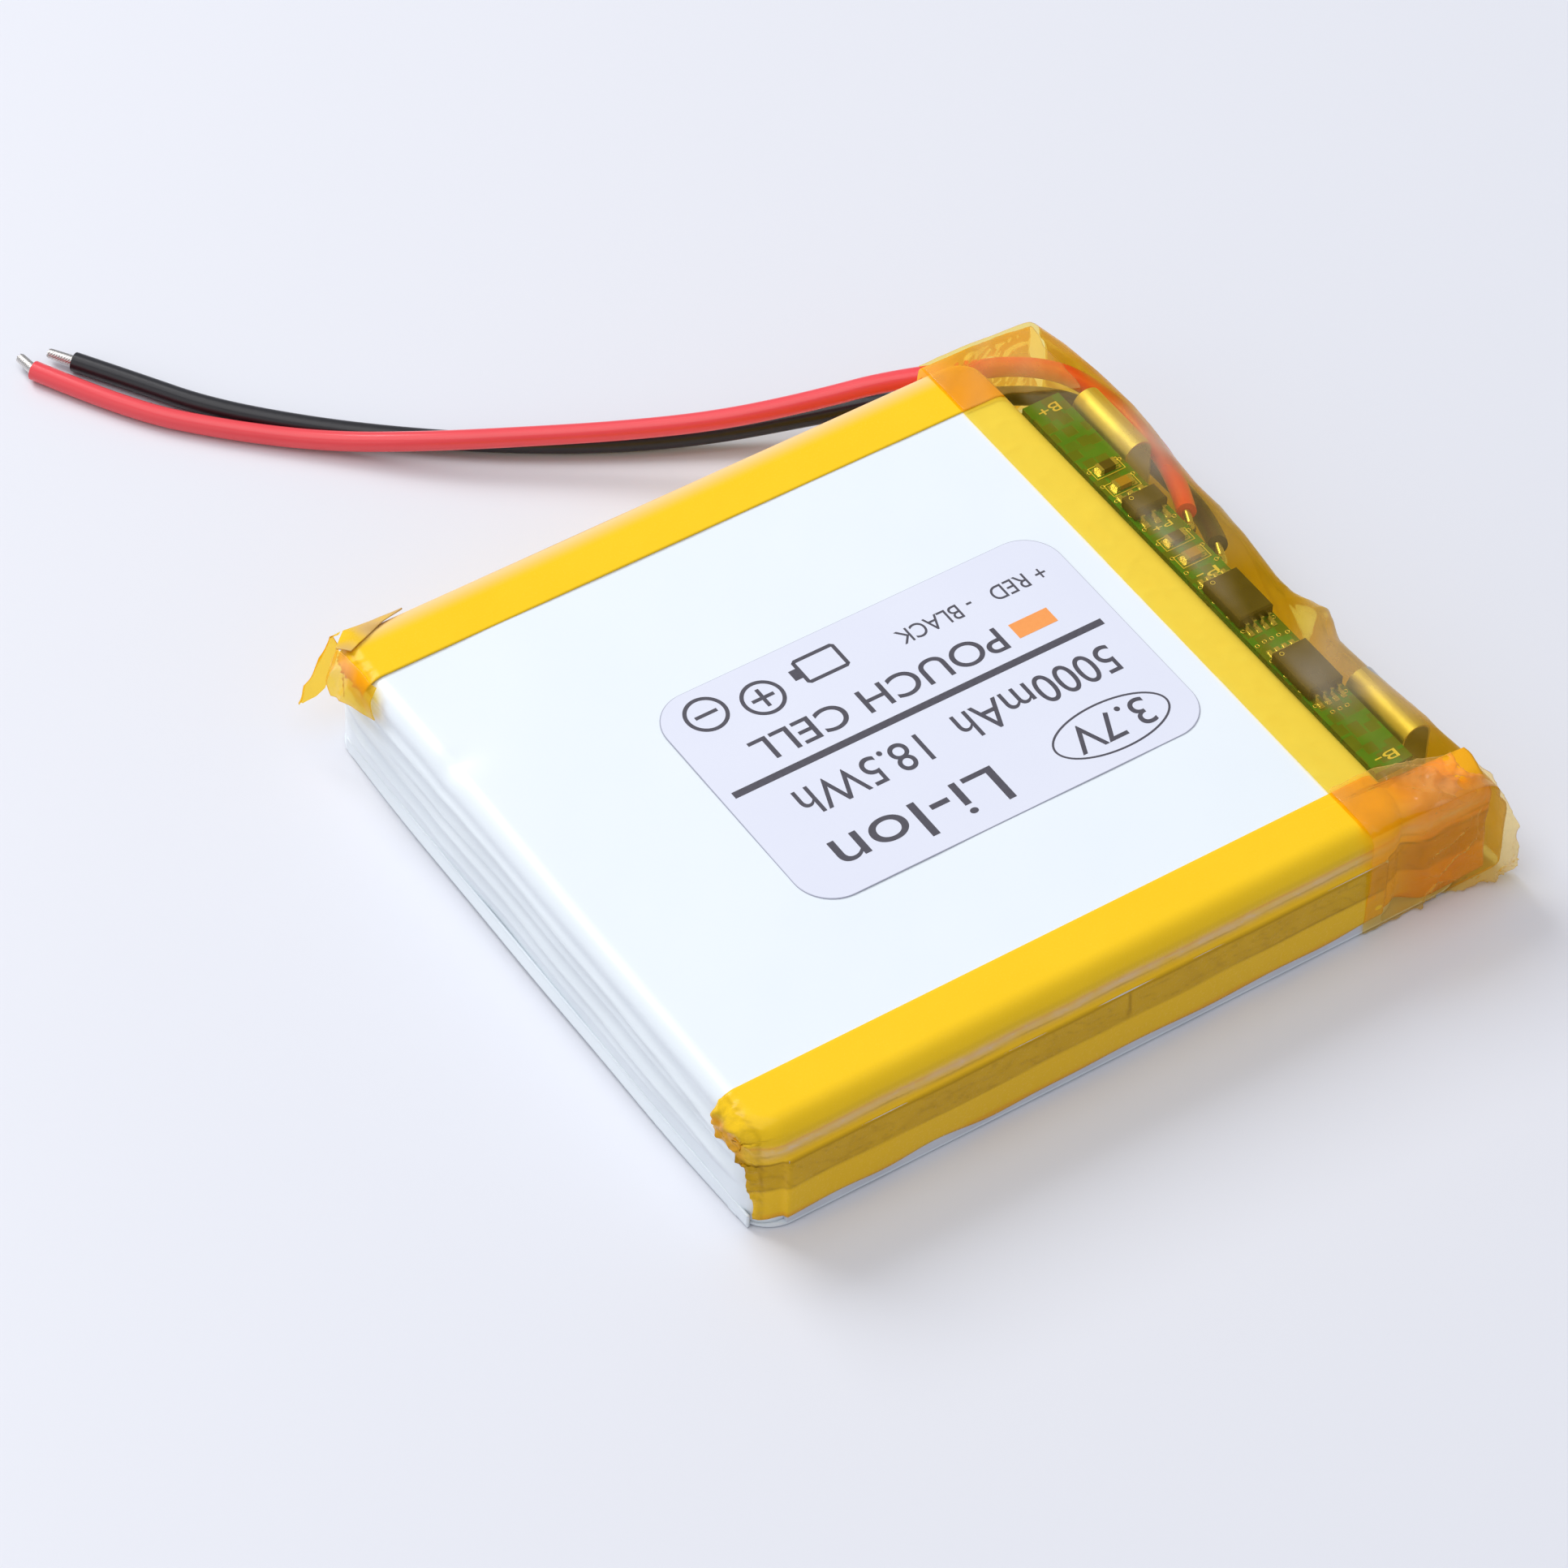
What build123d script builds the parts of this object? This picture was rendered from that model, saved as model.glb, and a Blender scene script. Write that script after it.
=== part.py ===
from build123d import *
from math import pi, radians, tan

# Pouch battery cell: a deep-drawn laminate cup over a stack of electrode sheets, closed by a
# flat cover, with a protection board taped across one end and two free leads.
# Frame: +X across the cell, +Y towards the board, +Z up; the origin is on the underside,
# below the middle of the body. Millimetres.

# ---- Driving dimensions -------------------------------------------------------------------
HALF_WIDTH = 27.5            # outside of the tape on the long walls
HEIGHT = 10.0                # outside of the tape on the flat face
BODY_FRONT = -31.15          # folded end of the cup
BODY_BACK = 23.3             # board end of the cup
FILM_END = 31.65             # outside of the film over the board
TAPE = 0.12                  # tape and film thickness
LAMINATE = 0.2               # one ply of pouch laminate
CUP_CORNER = 2.5             # upright corners of the cup
CUP_EDGE = 1.5               # long edges round the flat face
FLAP_TOP = 6.7               # height of the side seals, folded up against the walls
TAPE_FOOT = 1.5              # lower edge of the side tapes
TAPE_ON_TOP = 22.1           # inner edge of the side tapes on the flat face
FILM_START = 19.05           # edge of the film on the flat face
LIP = 0.5                    # how far the folded lip stands out, and its height
LIP_HALF = 24.0
TERRACE_END = 28.9           # end of the top seal
TERRACE_HALF = 26.0

ANODES = 12                  # electrode sheets in the stack; one cathode fewer
ANODE_SHEET = 0.28
SEPARATOR = 0.1
STACK_TOP = 9.3
STACK_HALF = 25.2
STACK_FRONT = -29.3
STACK_BACK = 20.5
SEPARATOR_MARGIN = 0.4       # separators reach past the electrodes
SHEET_CORNER = 1.2
BAND_PLACES = (-18.0, 8.0)     # binding tapes round the stack
BAND_HALF = 3.0
BAND = 0.1

TAB_WIDTH = 6.6
TAB = 0.14                   # tab strip thickness
TAB_START = 20.7             # inside the pouch, below the foil tails
TAB_SEAL_END = 29.3
TAB_TIP = 24.4               # other end, on the strip below the board
PLATE_OUTER = 27.0           # outer edge of the plates between tab and board
SEALANT_INNER = 22.9
SEALANT_OUTER = 29.2
SEALANT_MARGIN = 1.0         # sealing film beside a tab
POSITIVE_TAB_X = -16.3
NEGATIVE_TAB_X = 16.8
TAIL_WIDTH = 5.0

BOARD_LEFT = -21.0
BOARD_RIGHT = 21.6
BOARD_INNER = 23.9
BOARD_WIDTH = 3.2
BOARD_BOTTOM = 7.6
BOARD = 0.8
PAD = 0.05                   # copper and solder on the board
INSULATOR_HALF = 22.0
INSULATOR = 0.2
INSULATOR_TOP = 7.3
FOAM_HALF = 21.0
FOAM_OUTER = 26.9

LABEL_CENTRE = (1.65, 0.15)
LABEL_SIZE = (21.7, 33.2)
LABEL_CORNER = 3.0
LABEL = 0.08
FILM_KNEE = 2.2              # rounding of the film over the outer edge of the board
FILM_END_TOP = 9.6

LEAD = 1.5                   # lead diameter over the insulation
STRAND = 0.6                 # stripped conductor at the board
TIP = 0.9                    # tinned conductor at the free end
TIP_LENGTH = 3.8
LEAD_HOLE = 1.6
SOLDER_BLOB = 0.55

# Routes of the leads, from the board to the exit and from the exit to the free end.
RED_INNER = [(-6.3, 28.0, 8.1), (-9.2, 29.5, 7.5), (-13.6, 30.75, 7.1), (-20.2, 30.75, 7.0),
             (-24.9, 29.0, 7.0), (-26.7, 26.12, 6.82)]
BLACK_INNER = [(-2.5, 28.0, 8.0), (-5.8, 29.7, 6.6), (-10.8, 30.75, 5.4), (-20.4, 30.75, 4.8),
               (-24.9, 29.0, 4.1), (-26.7, 26.12, 3.8)]
RED_FREE = [(-26.7, 26.12, 6.82), (-30.45, 20.12, 6.445), (-33.0, 13.2, 5.2), (-35.4, 6.8, 4.3),
            (-38.8, 0.6, 3.3), (-42.4, -5.2, 2.6), (-46.6, -11.0, 2.2), (-51.6, -16.7, 2.0),
            (-57.2, -22.4, 1.8), (-63.1, -26.9, 1.3), (-69.8, -31.2, 0.9)]
BLACK_FREE = [(-26.7, 26.12, 3.8), (-30.45, 20.12, 3.175), (-33.4, 13.2, 1.9), (-35.9, 6.6, 1.0),
              (-39.4, 0.4, 0.8), (-43.6, -5.6, 0.8), (-48.4, -11.2, 0.8), (-53.6, -16.8, 0.8),
              (-59.4, -22.2, 0.8), (-64.6, -25.4, 0.8), (-69.0, -28.2, 0.8)]

# ---- Worked-out levels --------------------------------------------------------------------
FLAP_OUTER = HALF_WIDTH - TAPE
CUP_HALF = FLAP_OUTER - 2 * LAMINATE
CUP_TOP = HEIGHT - TAPE
COVER_BOTTOM = TAPE
COVER_TOP = COVER_BOTTOM + LAMINATE
TAB_CENTRE = COVER_TOP + 0.15
SEALANT_TOP = COVER_TOP + 0.3
TERRACE_TOP = COVER_TOP + 0.5
CATHODES = ANODES - 1
SEPARATORS = ANODES + CATHODES + 1
CATHODE_SHEET = (STACK_TOP - COVER_TOP - ANODES * ANODE_SHEET
                 - SEPARATORS * SEPARATOR) / CATHODES
BOARD_TOP = BOARD_BOTTOM + BOARD
PAD_TOP = BOARD_TOP + PAD
BOARD_OUTER = BOARD_INNER + BOARD_WIDTH
BOARD_MID = BOARD_INNER + BOARD_WIDTH / 2
TAB_RISE = 29.75             # where the tabs turn up beyond the top seal
CURL_IN = 27.45              # where they come down beside the board
CURL_TOP = 9.05
TAB_END_LEVEL = 7.4


# ---- Small helpers ------------------------------------------------------------------------
def block(x_min, x_max, y_min, y_max, z_min, z_max):
    """Box between two corners."""
    size = (x_max - x_min, y_max - y_min, z_max - z_min)
    centre = ((x_max + x_min) / 2, (y_max + y_min) / 2, (z_max + z_min) / 2)
    return Pos(*centre) * Box(*size)


def rounded_plate(half_x, y_min, y_max, z_min, z_max, corner):
    """Flat plate with rounded upright corners."""
    outline = RectangleRounded(2 * half_x, y_max - y_min, corner)
    return Pos(0, (y_min + y_max) / 2, z_min) * extrude(outline, z_max - z_min)


def domed_block(half_x, y_min, y_max, z_min, z_max, corner, edge):
    """Plate with its top edge rounded too, as a drawn cup is."""
    plate = rounded_plate(half_x, y_min, y_max, z_min, z_max, corner)
    return fillet(plate.edges().group_by(Axis.Z)[-1], edge)


def bend_radii(points):
    """Largest tangent arc at each corner of a route: 0.45 of the shorter run."""
    radii = []
    for before, corner, after in zip(points, points[1:], points[2:]):
        run_in = Vector(*corner) - Vector(*before)
        run_out = Vector(*after) - Vector(*corner)
        half_turn = radians(run_in.get_angle(run_out)) / 2
        radii.append(0.45 * min(run_in.length, run_out.length) / tan(half_turn))
    return radii


def tube(points, diameter):
    """Round tube along straight runs joined by tangent arcs."""
    path = FilletPolyline(*points, radius=bend_radii(points))
    section = Plane(origin=path @ 0, z_dir=path % 0) * Circle(diameter / 2)
    return sweep(section, path=path), path


def rod(start, end, diameter):
    """Straight round rod between two points."""
    line = Line(start, end)
    return extrude(Plane(origin=start, z_dir=line % 0) * Circle(diameter / 2), line.length)


def beyond(points, reach):
    """Point that lies past the end of a route, in line with its last run."""
    last = Vector(*points[-1])
    along = (last - Vector(*points[-2])).normalized()
    return tuple(last + along * reach)


# ---- Pouch --------------------------------------------------------------------------------
def make_sealant(tab_x):
    """Sealing film round one tab where it passes through the top seal."""
    half = TAB_WIDTH / 2
    strip = block(tab_x - half, tab_x + half, TAB_START, TAB_SEAL_END,
                  TAB_CENTRE - TAB / 2, TAB_CENTRE + TAB / 2)
    return seal_channel(tab_x) - strip


def seal_channel(tab_x):
    """Space that one tab and its sealant fill in the laminate."""
    wide = TAB_WIDTH / 2 + SEALANT_MARGIN
    return block(tab_x - wide, tab_x + wide, SEALANT_INNER, SEALANT_OUTER, COVER_TOP,
                 SEALANT_TOP)


def make_pouch():
    """Drawn cup, cover, folded side seals, top seal and the folded lip."""
    outer = domed_block(CUP_HALF, BODY_FRONT, BODY_BACK, COVER_TOP, CUP_TOP,
                        CUP_CORNER, CUP_EDGE)
    inner = domed_block(CUP_HALF - LAMINATE, BODY_FRONT + LAMINATE, BODY_BACK - LAMINATE,
                        COVER_TOP - 1, CUP_TOP - LAMINATE,
                        CUP_CORNER - LAMINATE, CUP_EDGE - LAMINATE)
    channels = seal_channel(POSITIVE_TAB_X) + seal_channel(NEGATIVE_TAB_X)
    cup = outer - inner - channels
    cover = rounded_plate(FLAP_OUTER, BODY_FRONT, TERRACE_END, COVER_BOTTOM, COVER_TOP,
                          CUP_CORNER + 2 * LAMINATE)
    flap = block(CUP_HALF, FLAP_OUTER, BODY_FRONT + CUP_CORNER, BODY_BACK - CUP_CORNER,
                 COVER_TOP, FLAP_TOP)
    terrace = block(-TERRACE_HALF, TERRACE_HALF, BODY_BACK, TERRACE_END,
                    COVER_TOP, TERRACE_TOP) - channels
    bow = ThreePointArc((-LIP_HALF, BODY_FRONT), (0, BODY_FRONT - LIP), (LIP_HALF, BODY_FRONT))
    chord = Line((LIP_HALF, BODY_FRONT), (-LIP_HALF, BODY_FRONT))
    lip = extrude(make_face([bow, chord]), LIP)
    return {
        "pouch_cup": cup,
        "pouch_cover": cover,
        "side_seal_front": flap,
        "side_seal_back": mirror(flap, about=Plane.YZ),
        "top_seal": terrace,
        "bottom_fold": lip,
    }


# ---- Electrode stack ----------------------------------------------------------------------
def make_stack():
    """Anode and cathode sheets between separators, with foil tails gathered at the tabs."""
    anodes, cathodes, separators = [], [], []
    tails = {"anode": [], "cathode": []}
    level = COVER_TOP
    for index in range(ANODES + CATHODES):
        separators.append(make_sheet(level, SEPARATOR, 0))
        level += SEPARATOR
        is_anode = index % 2 == 0
        thickness = ANODE_SHEET if is_anode else CATHODE_SHEET
        sheet = make_sheet(level, thickness, SEPARATOR_MARGIN)
        (anodes if is_anode else cathodes).append(sheet)
        tails["anode" if is_anode else "cathode"].append(level + thickness / 2)
        level += thickness
    separators.append(make_sheet(level, STACK_TOP - level, 0))
    bands = [make_band(y) for y in BAND_PLACES]
    return {
        "anode_sheets": Compound(anodes),
        "cathode_sheets": Compound(cathodes),
        "separators": Compound(separators),
        "stack_tapes": Compound(bands),
        "anode_foil_tails": make_tails(NEGATIVE_TAB_X, tails["anode"]),
        "cathode_foil_tails": make_tails(POSITIVE_TAB_X, tails["cathode"]),
    }


def make_sheet(level, thickness, margin):
    """One flat sheet of the stack."""
    return rounded_plate(STACK_HALF - margin, STACK_FRONT + margin, STACK_BACK - margin,
                         level, level + thickness, SHEET_CORNER)


def make_band(y):
    """Tape over the top and down both sides of the stack."""
    wide = STACK_HALF + BAND
    outer = block(-wide, wide, y - BAND_HALF, y + BAND_HALF, COVER_TOP + 0.18, STACK_TOP + BAND)
    inner = block(-STACK_HALF, STACK_HALF, y - wide, y + wide, 0, STACK_TOP)
    return outer - inner


def make_tails(tab_x, levels):
    """Bare foils of one kind, drawn down to the tab and welded to it."""
    half = TAIL_WIDTH / 2
    root = STACK_BACK + 0.4
    foot = TAB_CENTRE + TAB / 2
    outline = [(root, foot), (root, levels[-1] + 0.05), (21.6, 4.6), (22.7, 1.2), (22.7, foot)]
    corners = [(tab_x - half, y, z) for y, z in outline]
    wedge = extrude(make_face(Polyline(*corners, close=True)), TAIL_WIDTH, dir=(1, 0, 0))
    for level in levels:
        wedge += block(tab_x - half, tab_x + half, STACK_BACK - SEPARATOR_MARGIN, root,
                       max(level - 0.05, foot), level + 0.05)
    return wedge


# ---- Tabs ---------------------------------------------------------------------------------
def make_tab(tab_x):
    """Strip that runs out through the seal, turns up and curls over on to the board."""
    route = [(tab_x, TAB_START, TAB_CENTRE), (tab_x, TAB_RISE, TAB_CENTRE),
             (tab_x, TAB_RISE, CURL_TOP), (tab_x, CURL_IN, CURL_TOP),
             (tab_x, CURL_IN, TAB_END_LEVEL), (tab_x, TAB_TIP, TAB_END_LEVEL)]
    curl = (TAB_RISE - CURL_IN) / 2 - 0.01
    path = FilletPolyline(*route, radius=[0.45, curl, curl, 0.45])
    start = Plane(origin=route[0], x_dir=(1, 0, 0), z_dir=(0, 1, 0))
    return sweep(start * Rectangle(TAB_WIDTH, TAB), path=path)


def make_tabs():
    """Both tabs, their sealant, and the plates that join them to the board."""
    half = TAB_WIDTH / 2
    plates = [block(x - half, x + half, TAB_TIP, PLATE_OUTER, TAB_END_LEVEL + TAB / 2,
                    BOARD_BOTTOM)
              for x in (POSITIVE_TAB_X, NEGATIVE_TAB_X)]
    return {
        "positive_tab": make_tab(POSITIVE_TAB_X),
        "negative_tab": make_tab(NEGATIVE_TAB_X),
        "positive_tab_sealant": make_sealant(POSITIVE_TAB_X),
        "negative_tab_sealant": make_sealant(NEGATIVE_TAB_X),
        "tab_weld_plates": Compound(plates),
    }


# ---- Protection board ---------------------------------------------------------------------
CHIP_X = {"resistor": (-12.7, -4.2), "capacitor": (-10.7, -2.2)}
IC_X = -8.1                              # six-leg controller, long side across the board
IC_BODY = (1.7, 2.8)
IC_LEG_Y = (-0.95, 0.0, 0.95)
MOSFET_X = {"left": 3.2, "right": 11.4}  # eight-leg switches
MOSFET_BODY = (4.4, 2.9)
MOSFET_LEG_Y = (-0.975, -0.325, 0.325, 0.975)
IC_LEG = 0.36                            # widths of the legs
MOSFET_LEG = 0.28
PACKAGE_GAP = 0.05                       # below the plastic bodies
PACKAGE = 0.95
LEG = 0.12
FOOT = 0.55
SHOULDER = 0.35
CHIP_HALF = 0.4                          # small chip parts: half their width, then where
CHIP_BODY = 0.5                          # the body, the end terminals and the pads end,
CHIP_END = 0.8                           # measured from their middle
CHIP_PAD = 1.05
CHIP_HEIGHT = 0.45
LEAD_PAD_HALF = 0.6
LEAD_PAD_X = {"red": -4.9, "black": -1.1}  # pads on the outer edge of the board


def make_package(x, body):
    """Plastic body of a surface-mount part."""
    base = PAD_TOP + PACKAGE_GAP
    shape = block(x - body[0] / 2, x + body[0] / 2, BOARD_MID - body[1] / 2,
                  BOARD_MID + body[1] / 2, base, base + PACKAGE)
    return chamfer(shape.edges().group_by(Axis.Z)[-1], 0.12)


def make_leg(x, y, side, width):
    """Gull-wing leg that leaves a body face at x towards side (+1 or -1)."""
    mid = PAD_TOP + PACKAGE_GAP + PACKAGE / 2
    spans = [(0, SHOULDER, mid - LEG, mid),
             (SHOULDER - LEG, SHOULDER, PAD_TOP, mid),
             (SHOULDER - LEG, SHOULDER + FOOT, PAD_TOP, PAD_TOP + LEG)]
    leg = None
    for near, far, low, high in spans:
        x_min, x_max = sorted((x + side * near, x + side * far))
        bar = block(x_min, x_max, y - width / 2, y + width / 2, low, high)
        leg = bar if leg is None else leg + bar
    return leg


def make_legs(x, body, offsets, width):
    """All legs of one part, both sides."""
    return [make_leg(x + side * body[0] / 2, BOARD_MID + dy, side, width)
            for side in (-1, 1) for dy in offsets]


def leg_pads(x, body, offsets, width):
    """Solder pads under the feet of one part."""
    pads = []
    for side in (-1, 1):
        near = x + side * (body[0] / 2 + SHOULDER - 0.2)
        far = x + side * (body[0] / 2 + SHOULDER + FOOT + 0.15)
        for dy in offsets:
            y = BOARD_MID + dy
            pads.append(block(min(near, far), max(near, far), y - width / 2 - 0.05,
                              y + width / 2 + 0.05, BOARD_TOP, PAD_TOP))
    return pads


def make_chip(x):
    """Body and two end terminals of a small chip part that lies across the board."""
    left, right = x - CHIP_HALF, x + CHIP_HALF
    top = PAD_TOP + CHIP_HEIGHT
    body = block(left, right, BOARD_MID - CHIP_BODY, BOARD_MID + CHIP_BODY, PAD_TOP, top)
    ends = [block(left, right, BOARD_MID + near, BOARD_MID + far, PAD_TOP, top)
            for near, far in ((-CHIP_END, -CHIP_BODY), (CHIP_BODY, CHIP_END))]
    pads = [block(left - PAD, right + PAD, BOARD_MID + near, BOARD_MID + far, BOARD_TOP, PAD_TOP)
            for near, far in ((-CHIP_PAD, -CHIP_BODY), (CHIP_BODY, CHIP_PAD))]
    return body, ends, pads


def make_board():
    """Board, its parts, and the strips that carry it."""
    nodes = {}
    board = block(BOARD_LEFT, BOARD_RIGHT, BOARD_INNER, BOARD_OUTER, BOARD_BOTTOM, BOARD_TOP)
    nodes["protection_board"] = board
    nodes["protection_ic"] = make_package(IC_X, IC_BODY)
    nodes["protection_ic_legs"] = Compound(make_legs(IC_X, IC_BODY, IC_LEG_Y, IC_LEG))
    pads = leg_pads(IC_X, IC_BODY, IC_LEG_Y, IC_LEG)
    for name, x in MOSFET_X.items():
        nodes[f"mosfet_{name}"] = make_package(x, MOSFET_BODY)
        legs = make_legs(x, MOSFET_BODY, MOSFET_LEG_Y, MOSFET_LEG)
        nodes[f"mosfet_{name}_legs"] = Compound(legs)
        pads += leg_pads(x, MOSFET_BODY, MOSFET_LEG_Y, MOSFET_LEG)
    terminals = []
    for name, places in CHIP_X.items():
        bodies = []
        for x in places:
            body, ends, chip_pads = make_chip(x)
            bodies.append(body)
            terminals += ends
            pads += chip_pads
        nodes[f"chip_{name}s"] = Compound(bodies)
    nodes["chip_terminals"] = Compound(terminals)
    for x in LEAD_PAD_X.values():
        pads.append(block(x - LEAD_PAD_HALF, x + LEAD_PAD_HALF, BOARD_OUTER, BOARD_OUTER + PAD,
                          BOARD_BOTTOM + 0.1, BOARD_TOP - 0.1))
    nodes["board_pads"] = Compound(pads)
    nodes["end_insulator"] = block(-INSULATOR_HALF, INSULATOR_HALF, BODY_BACK,
                                   BODY_BACK + INSULATOR, TERRACE_TOP, INSULATOR_TOP)
    nodes["foam_strip"] = block(-FOAM_HALF, FOAM_HALF, BODY_BACK + INSULATOR, FOAM_OUTER,
                                TERRACE_TOP, TAB_END_LEVEL - TAB / 2)
    return nodes


# ---- Tapes, film and label ----------------------------------------------------------------
def make_side_tape():
    """Tape folded from the flat face down over one long wall and its seal."""
    round_centre = CUP_HALF - CUP_EDGE
    round_level = CUP_TOP - CUP_EDGE
    step = FLAP_TOP + TAPE
    y = BODY_FRONT + CUP_CORNER
    half_root = 2 ** 0.5 / 2
    inner_mid = (round_centre + CUP_EDGE * half_root, y, round_level + CUP_EDGE * half_root)
    big = CUP_EDGE + TAPE
    outer_mid = (round_centre + big * half_root, y, round_level + big * half_root)
    outline = [
        Line((TAPE_ON_TOP, y, CUP_TOP), (round_centre, y, CUP_TOP)),
        ThreePointArc((round_centre, y, CUP_TOP), inner_mid, (CUP_HALF, y, round_level)),
        Polyline((CUP_HALF, y, round_level), (CUP_HALF, y, FLAP_TOP),
                 (FLAP_OUTER, y, FLAP_TOP), (FLAP_OUTER, y, TAPE_FOOT),
                 (HALF_WIDTH, y, TAPE_FOOT), (HALF_WIDTH, y, step),
                 (CUP_HALF + TAPE, y, step), (CUP_HALF + TAPE, y, round_level)),
        ThreePointArc((CUP_HALF + TAPE, y, round_level), outer_mid, (round_centre, y, HEIGHT)),
        Polyline((round_centre, y, HEIGHT), (TAPE_ON_TOP, y, HEIGHT), (TAPE_ON_TOP, y, CUP_TOP)),
    ]
    face = make_face([edge for part in outline for edge in part.edges()])
    return extrude(face, FILM_START - y, dir=(0, 1, 0))


def make_tape_end():
    """Tape end pressed round the upright corner at the folded end."""
    ring = Circle(CUP_CORNER + TAPE) - Circle(CUP_CORNER)
    centre = Pos(CUP_HALF - CUP_CORNER, BODY_FRONT + CUP_CORNER, TAPE_FOOT)
    height = CUP_TOP - CUP_EDGE - TAPE_FOOT
    sector = extrude(ring, height) & block(0.7, 9, -9, 0, 0, height)
    return centre * sector


def film_outline(inset):
    """Side view of the film over the board; inset is how far inside the outer face."""
    start = FILM_START
    corners = [(0, start, inset), (0, FILM_END - inset, inset), (0, FILM_END - inset, FILM_END_TOP - inset),
               (0, BODY_BACK, HEIGHT - inset), (0, start, HEIGHT - inset)]
    face = make_face(Polyline(*corners, close=True))
    knee = [v for v in face.vertices() if v.Y > FILM_END - 0.5 and v.Z > 5]
    return fillet(knee, FILM_KNEE - inset)


def make_wrapping(lead_cuts):
    """Side tapes, tape ends, film over the board, corner tapes and label."""
    side = make_side_tape()
    tape_end = make_tape_end()
    film = extrude(film_outline(0) - film_outline(TAPE), 2 * FLAP_OUTER, dir=(1, 0, 0))
    corner = extrude(film_outline(0), TAPE, dir=(1, 0, 0))
    corner_back = Pos(-HALF_WIDTH, 0, 0) * corner
    for cut in lead_cuts:
        corner_back -= cut
    label_outline = Pos(*LABEL_CENTRE, CUP_TOP) * RectangleRounded(*LABEL_SIZE, LABEL_CORNER)
    return {
        "side_tape_front": side,
        "side_tape_back": mirror(side, about=Plane.YZ),
        "tape_end_front": tape_end,
        "tape_end_back": mirror(tape_end, about=Plane.YZ),
        "board_film": Pos(-FLAP_OUTER, 0, 0) * film,
        "corner_tape_front": Pos(FLAP_OUTER, 0, 0) * corner,
        "corner_tape_back": corner_back,
        "label": extrude(label_outline, LABEL),
    }


# ---- Leads --------------------------------------------------------------------------------
def make_lead(colour, inner_route, free_route, board):
    """One lead: stripped strands at the board, the held run, the free run and its tip."""
    inner, inner_path = tube(inner_route, LEAD)
    free, free_path = tube(free_route, LEAD)
    face = BOARD_OUTER + PAD
    middle = BOARD_BOTTOM + BOARD / 2
    pad = (LEAD_PAD_X[colour], face + 0.25, middle)
    blob = Pos(pad[0], face, middle) * Sphere(SOLDER_BLOB)
    blob = blob & block(pad[0] - 1, pad[0] + 1, face, face + 1, middle - 1, middle + 1)
    strands = rod(inner_route[0], pad, STRAND) - inner - board
    tip = rod(free_route[-1], beyond(free_route, TIP_LENGTH), TIP)
    for name, path, solid in (("inner", inner_path, inner), ("free", free_path, free)):
        expected = path.length * pi * (LEAD / 2) ** 2
        print(f"{colour} {name}: length {path.length:.2f}, volume ratio "
              f"{solid.volume / expected:.4f}, lowest {solid.bounding_box().min.Z:.3f}")
    print(f"{colour} free radii:", [round(r, 1) for r in bend_radii(free_route)])
    print(f"{colour} inner radii:", [round(r, 1) for r in bend_radii(inner_route)])
    nodes = {
        f"{colour}_lead_inner": inner,
        f"{colour}_lead": free,
        f"{colour}_lead_tip": tip,
        f"{colour}_strands": strands,
    }
    return nodes, blob - strands


def make_leads(board):
    """Both leads and the solder that joins them to the board."""
    red, red_blob = make_lead("red", RED_INNER, RED_FREE, board)
    black, black_blob = make_lead("black", BLACK_INNER, BLACK_FREE, board)
    return red | black | {"solder_joints": Compound([red_blob, black_blob])}


def exit_cuts():
    """Holes in the corner tape where the leads leave."""
    cuts = []
    for inner, free in ((RED_INNER, RED_FREE), (BLACK_INNER, BLACK_FREE)):
        cuts.append(rod(inner[-2], inner[-1], LEAD_HOLE))
        cuts.append(rod(free[0], free[1], LEAD_HOLE))
    return cuts


# ---- Assembly -----------------------------------------------------------------------------
nodes = {}
nodes |= make_pouch()
nodes |= make_stack()
nodes |= make_tabs()
nodes |= make_board()
nodes |= make_wrapping(exit_cuts())
nodes |= make_leads(nodes["protection_board"])

for name, shape in nodes.items():
    export_step(shape, f"parts/{name}.step")
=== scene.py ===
"""Looks of a pouch battery cell: laminate skin, golden tapes and film, label, board and leads."""
import logging
import math
from dataclasses import dataclass
from enum import Enum
from typing import ClassVar, Sequence

import bpy
import numpy as np
from mathutils import Matrix, Vector


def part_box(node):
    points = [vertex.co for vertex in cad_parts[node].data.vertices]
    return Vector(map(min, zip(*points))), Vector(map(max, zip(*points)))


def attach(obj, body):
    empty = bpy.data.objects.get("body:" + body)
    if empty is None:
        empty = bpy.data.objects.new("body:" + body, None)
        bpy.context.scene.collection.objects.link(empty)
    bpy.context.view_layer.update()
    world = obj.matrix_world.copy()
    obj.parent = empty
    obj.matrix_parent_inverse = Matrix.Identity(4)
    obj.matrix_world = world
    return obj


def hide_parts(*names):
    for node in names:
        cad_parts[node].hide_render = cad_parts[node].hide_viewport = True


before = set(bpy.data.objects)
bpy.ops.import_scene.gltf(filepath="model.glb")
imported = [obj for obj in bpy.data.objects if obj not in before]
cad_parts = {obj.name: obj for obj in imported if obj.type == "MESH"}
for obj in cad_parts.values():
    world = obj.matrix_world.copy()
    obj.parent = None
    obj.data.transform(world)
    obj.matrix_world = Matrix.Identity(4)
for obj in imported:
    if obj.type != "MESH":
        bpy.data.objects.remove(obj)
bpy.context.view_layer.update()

LOG = logging.getLogger("pouch_cell")
MM = 0.001                      # shapes are worked out in millimetres, meshes are in metres
BODY = "root"
Colour = tuple[float, float, float]
Place = tuple[float, float, float]
Route = list[Place]
Piece = bpy.types.Object


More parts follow.
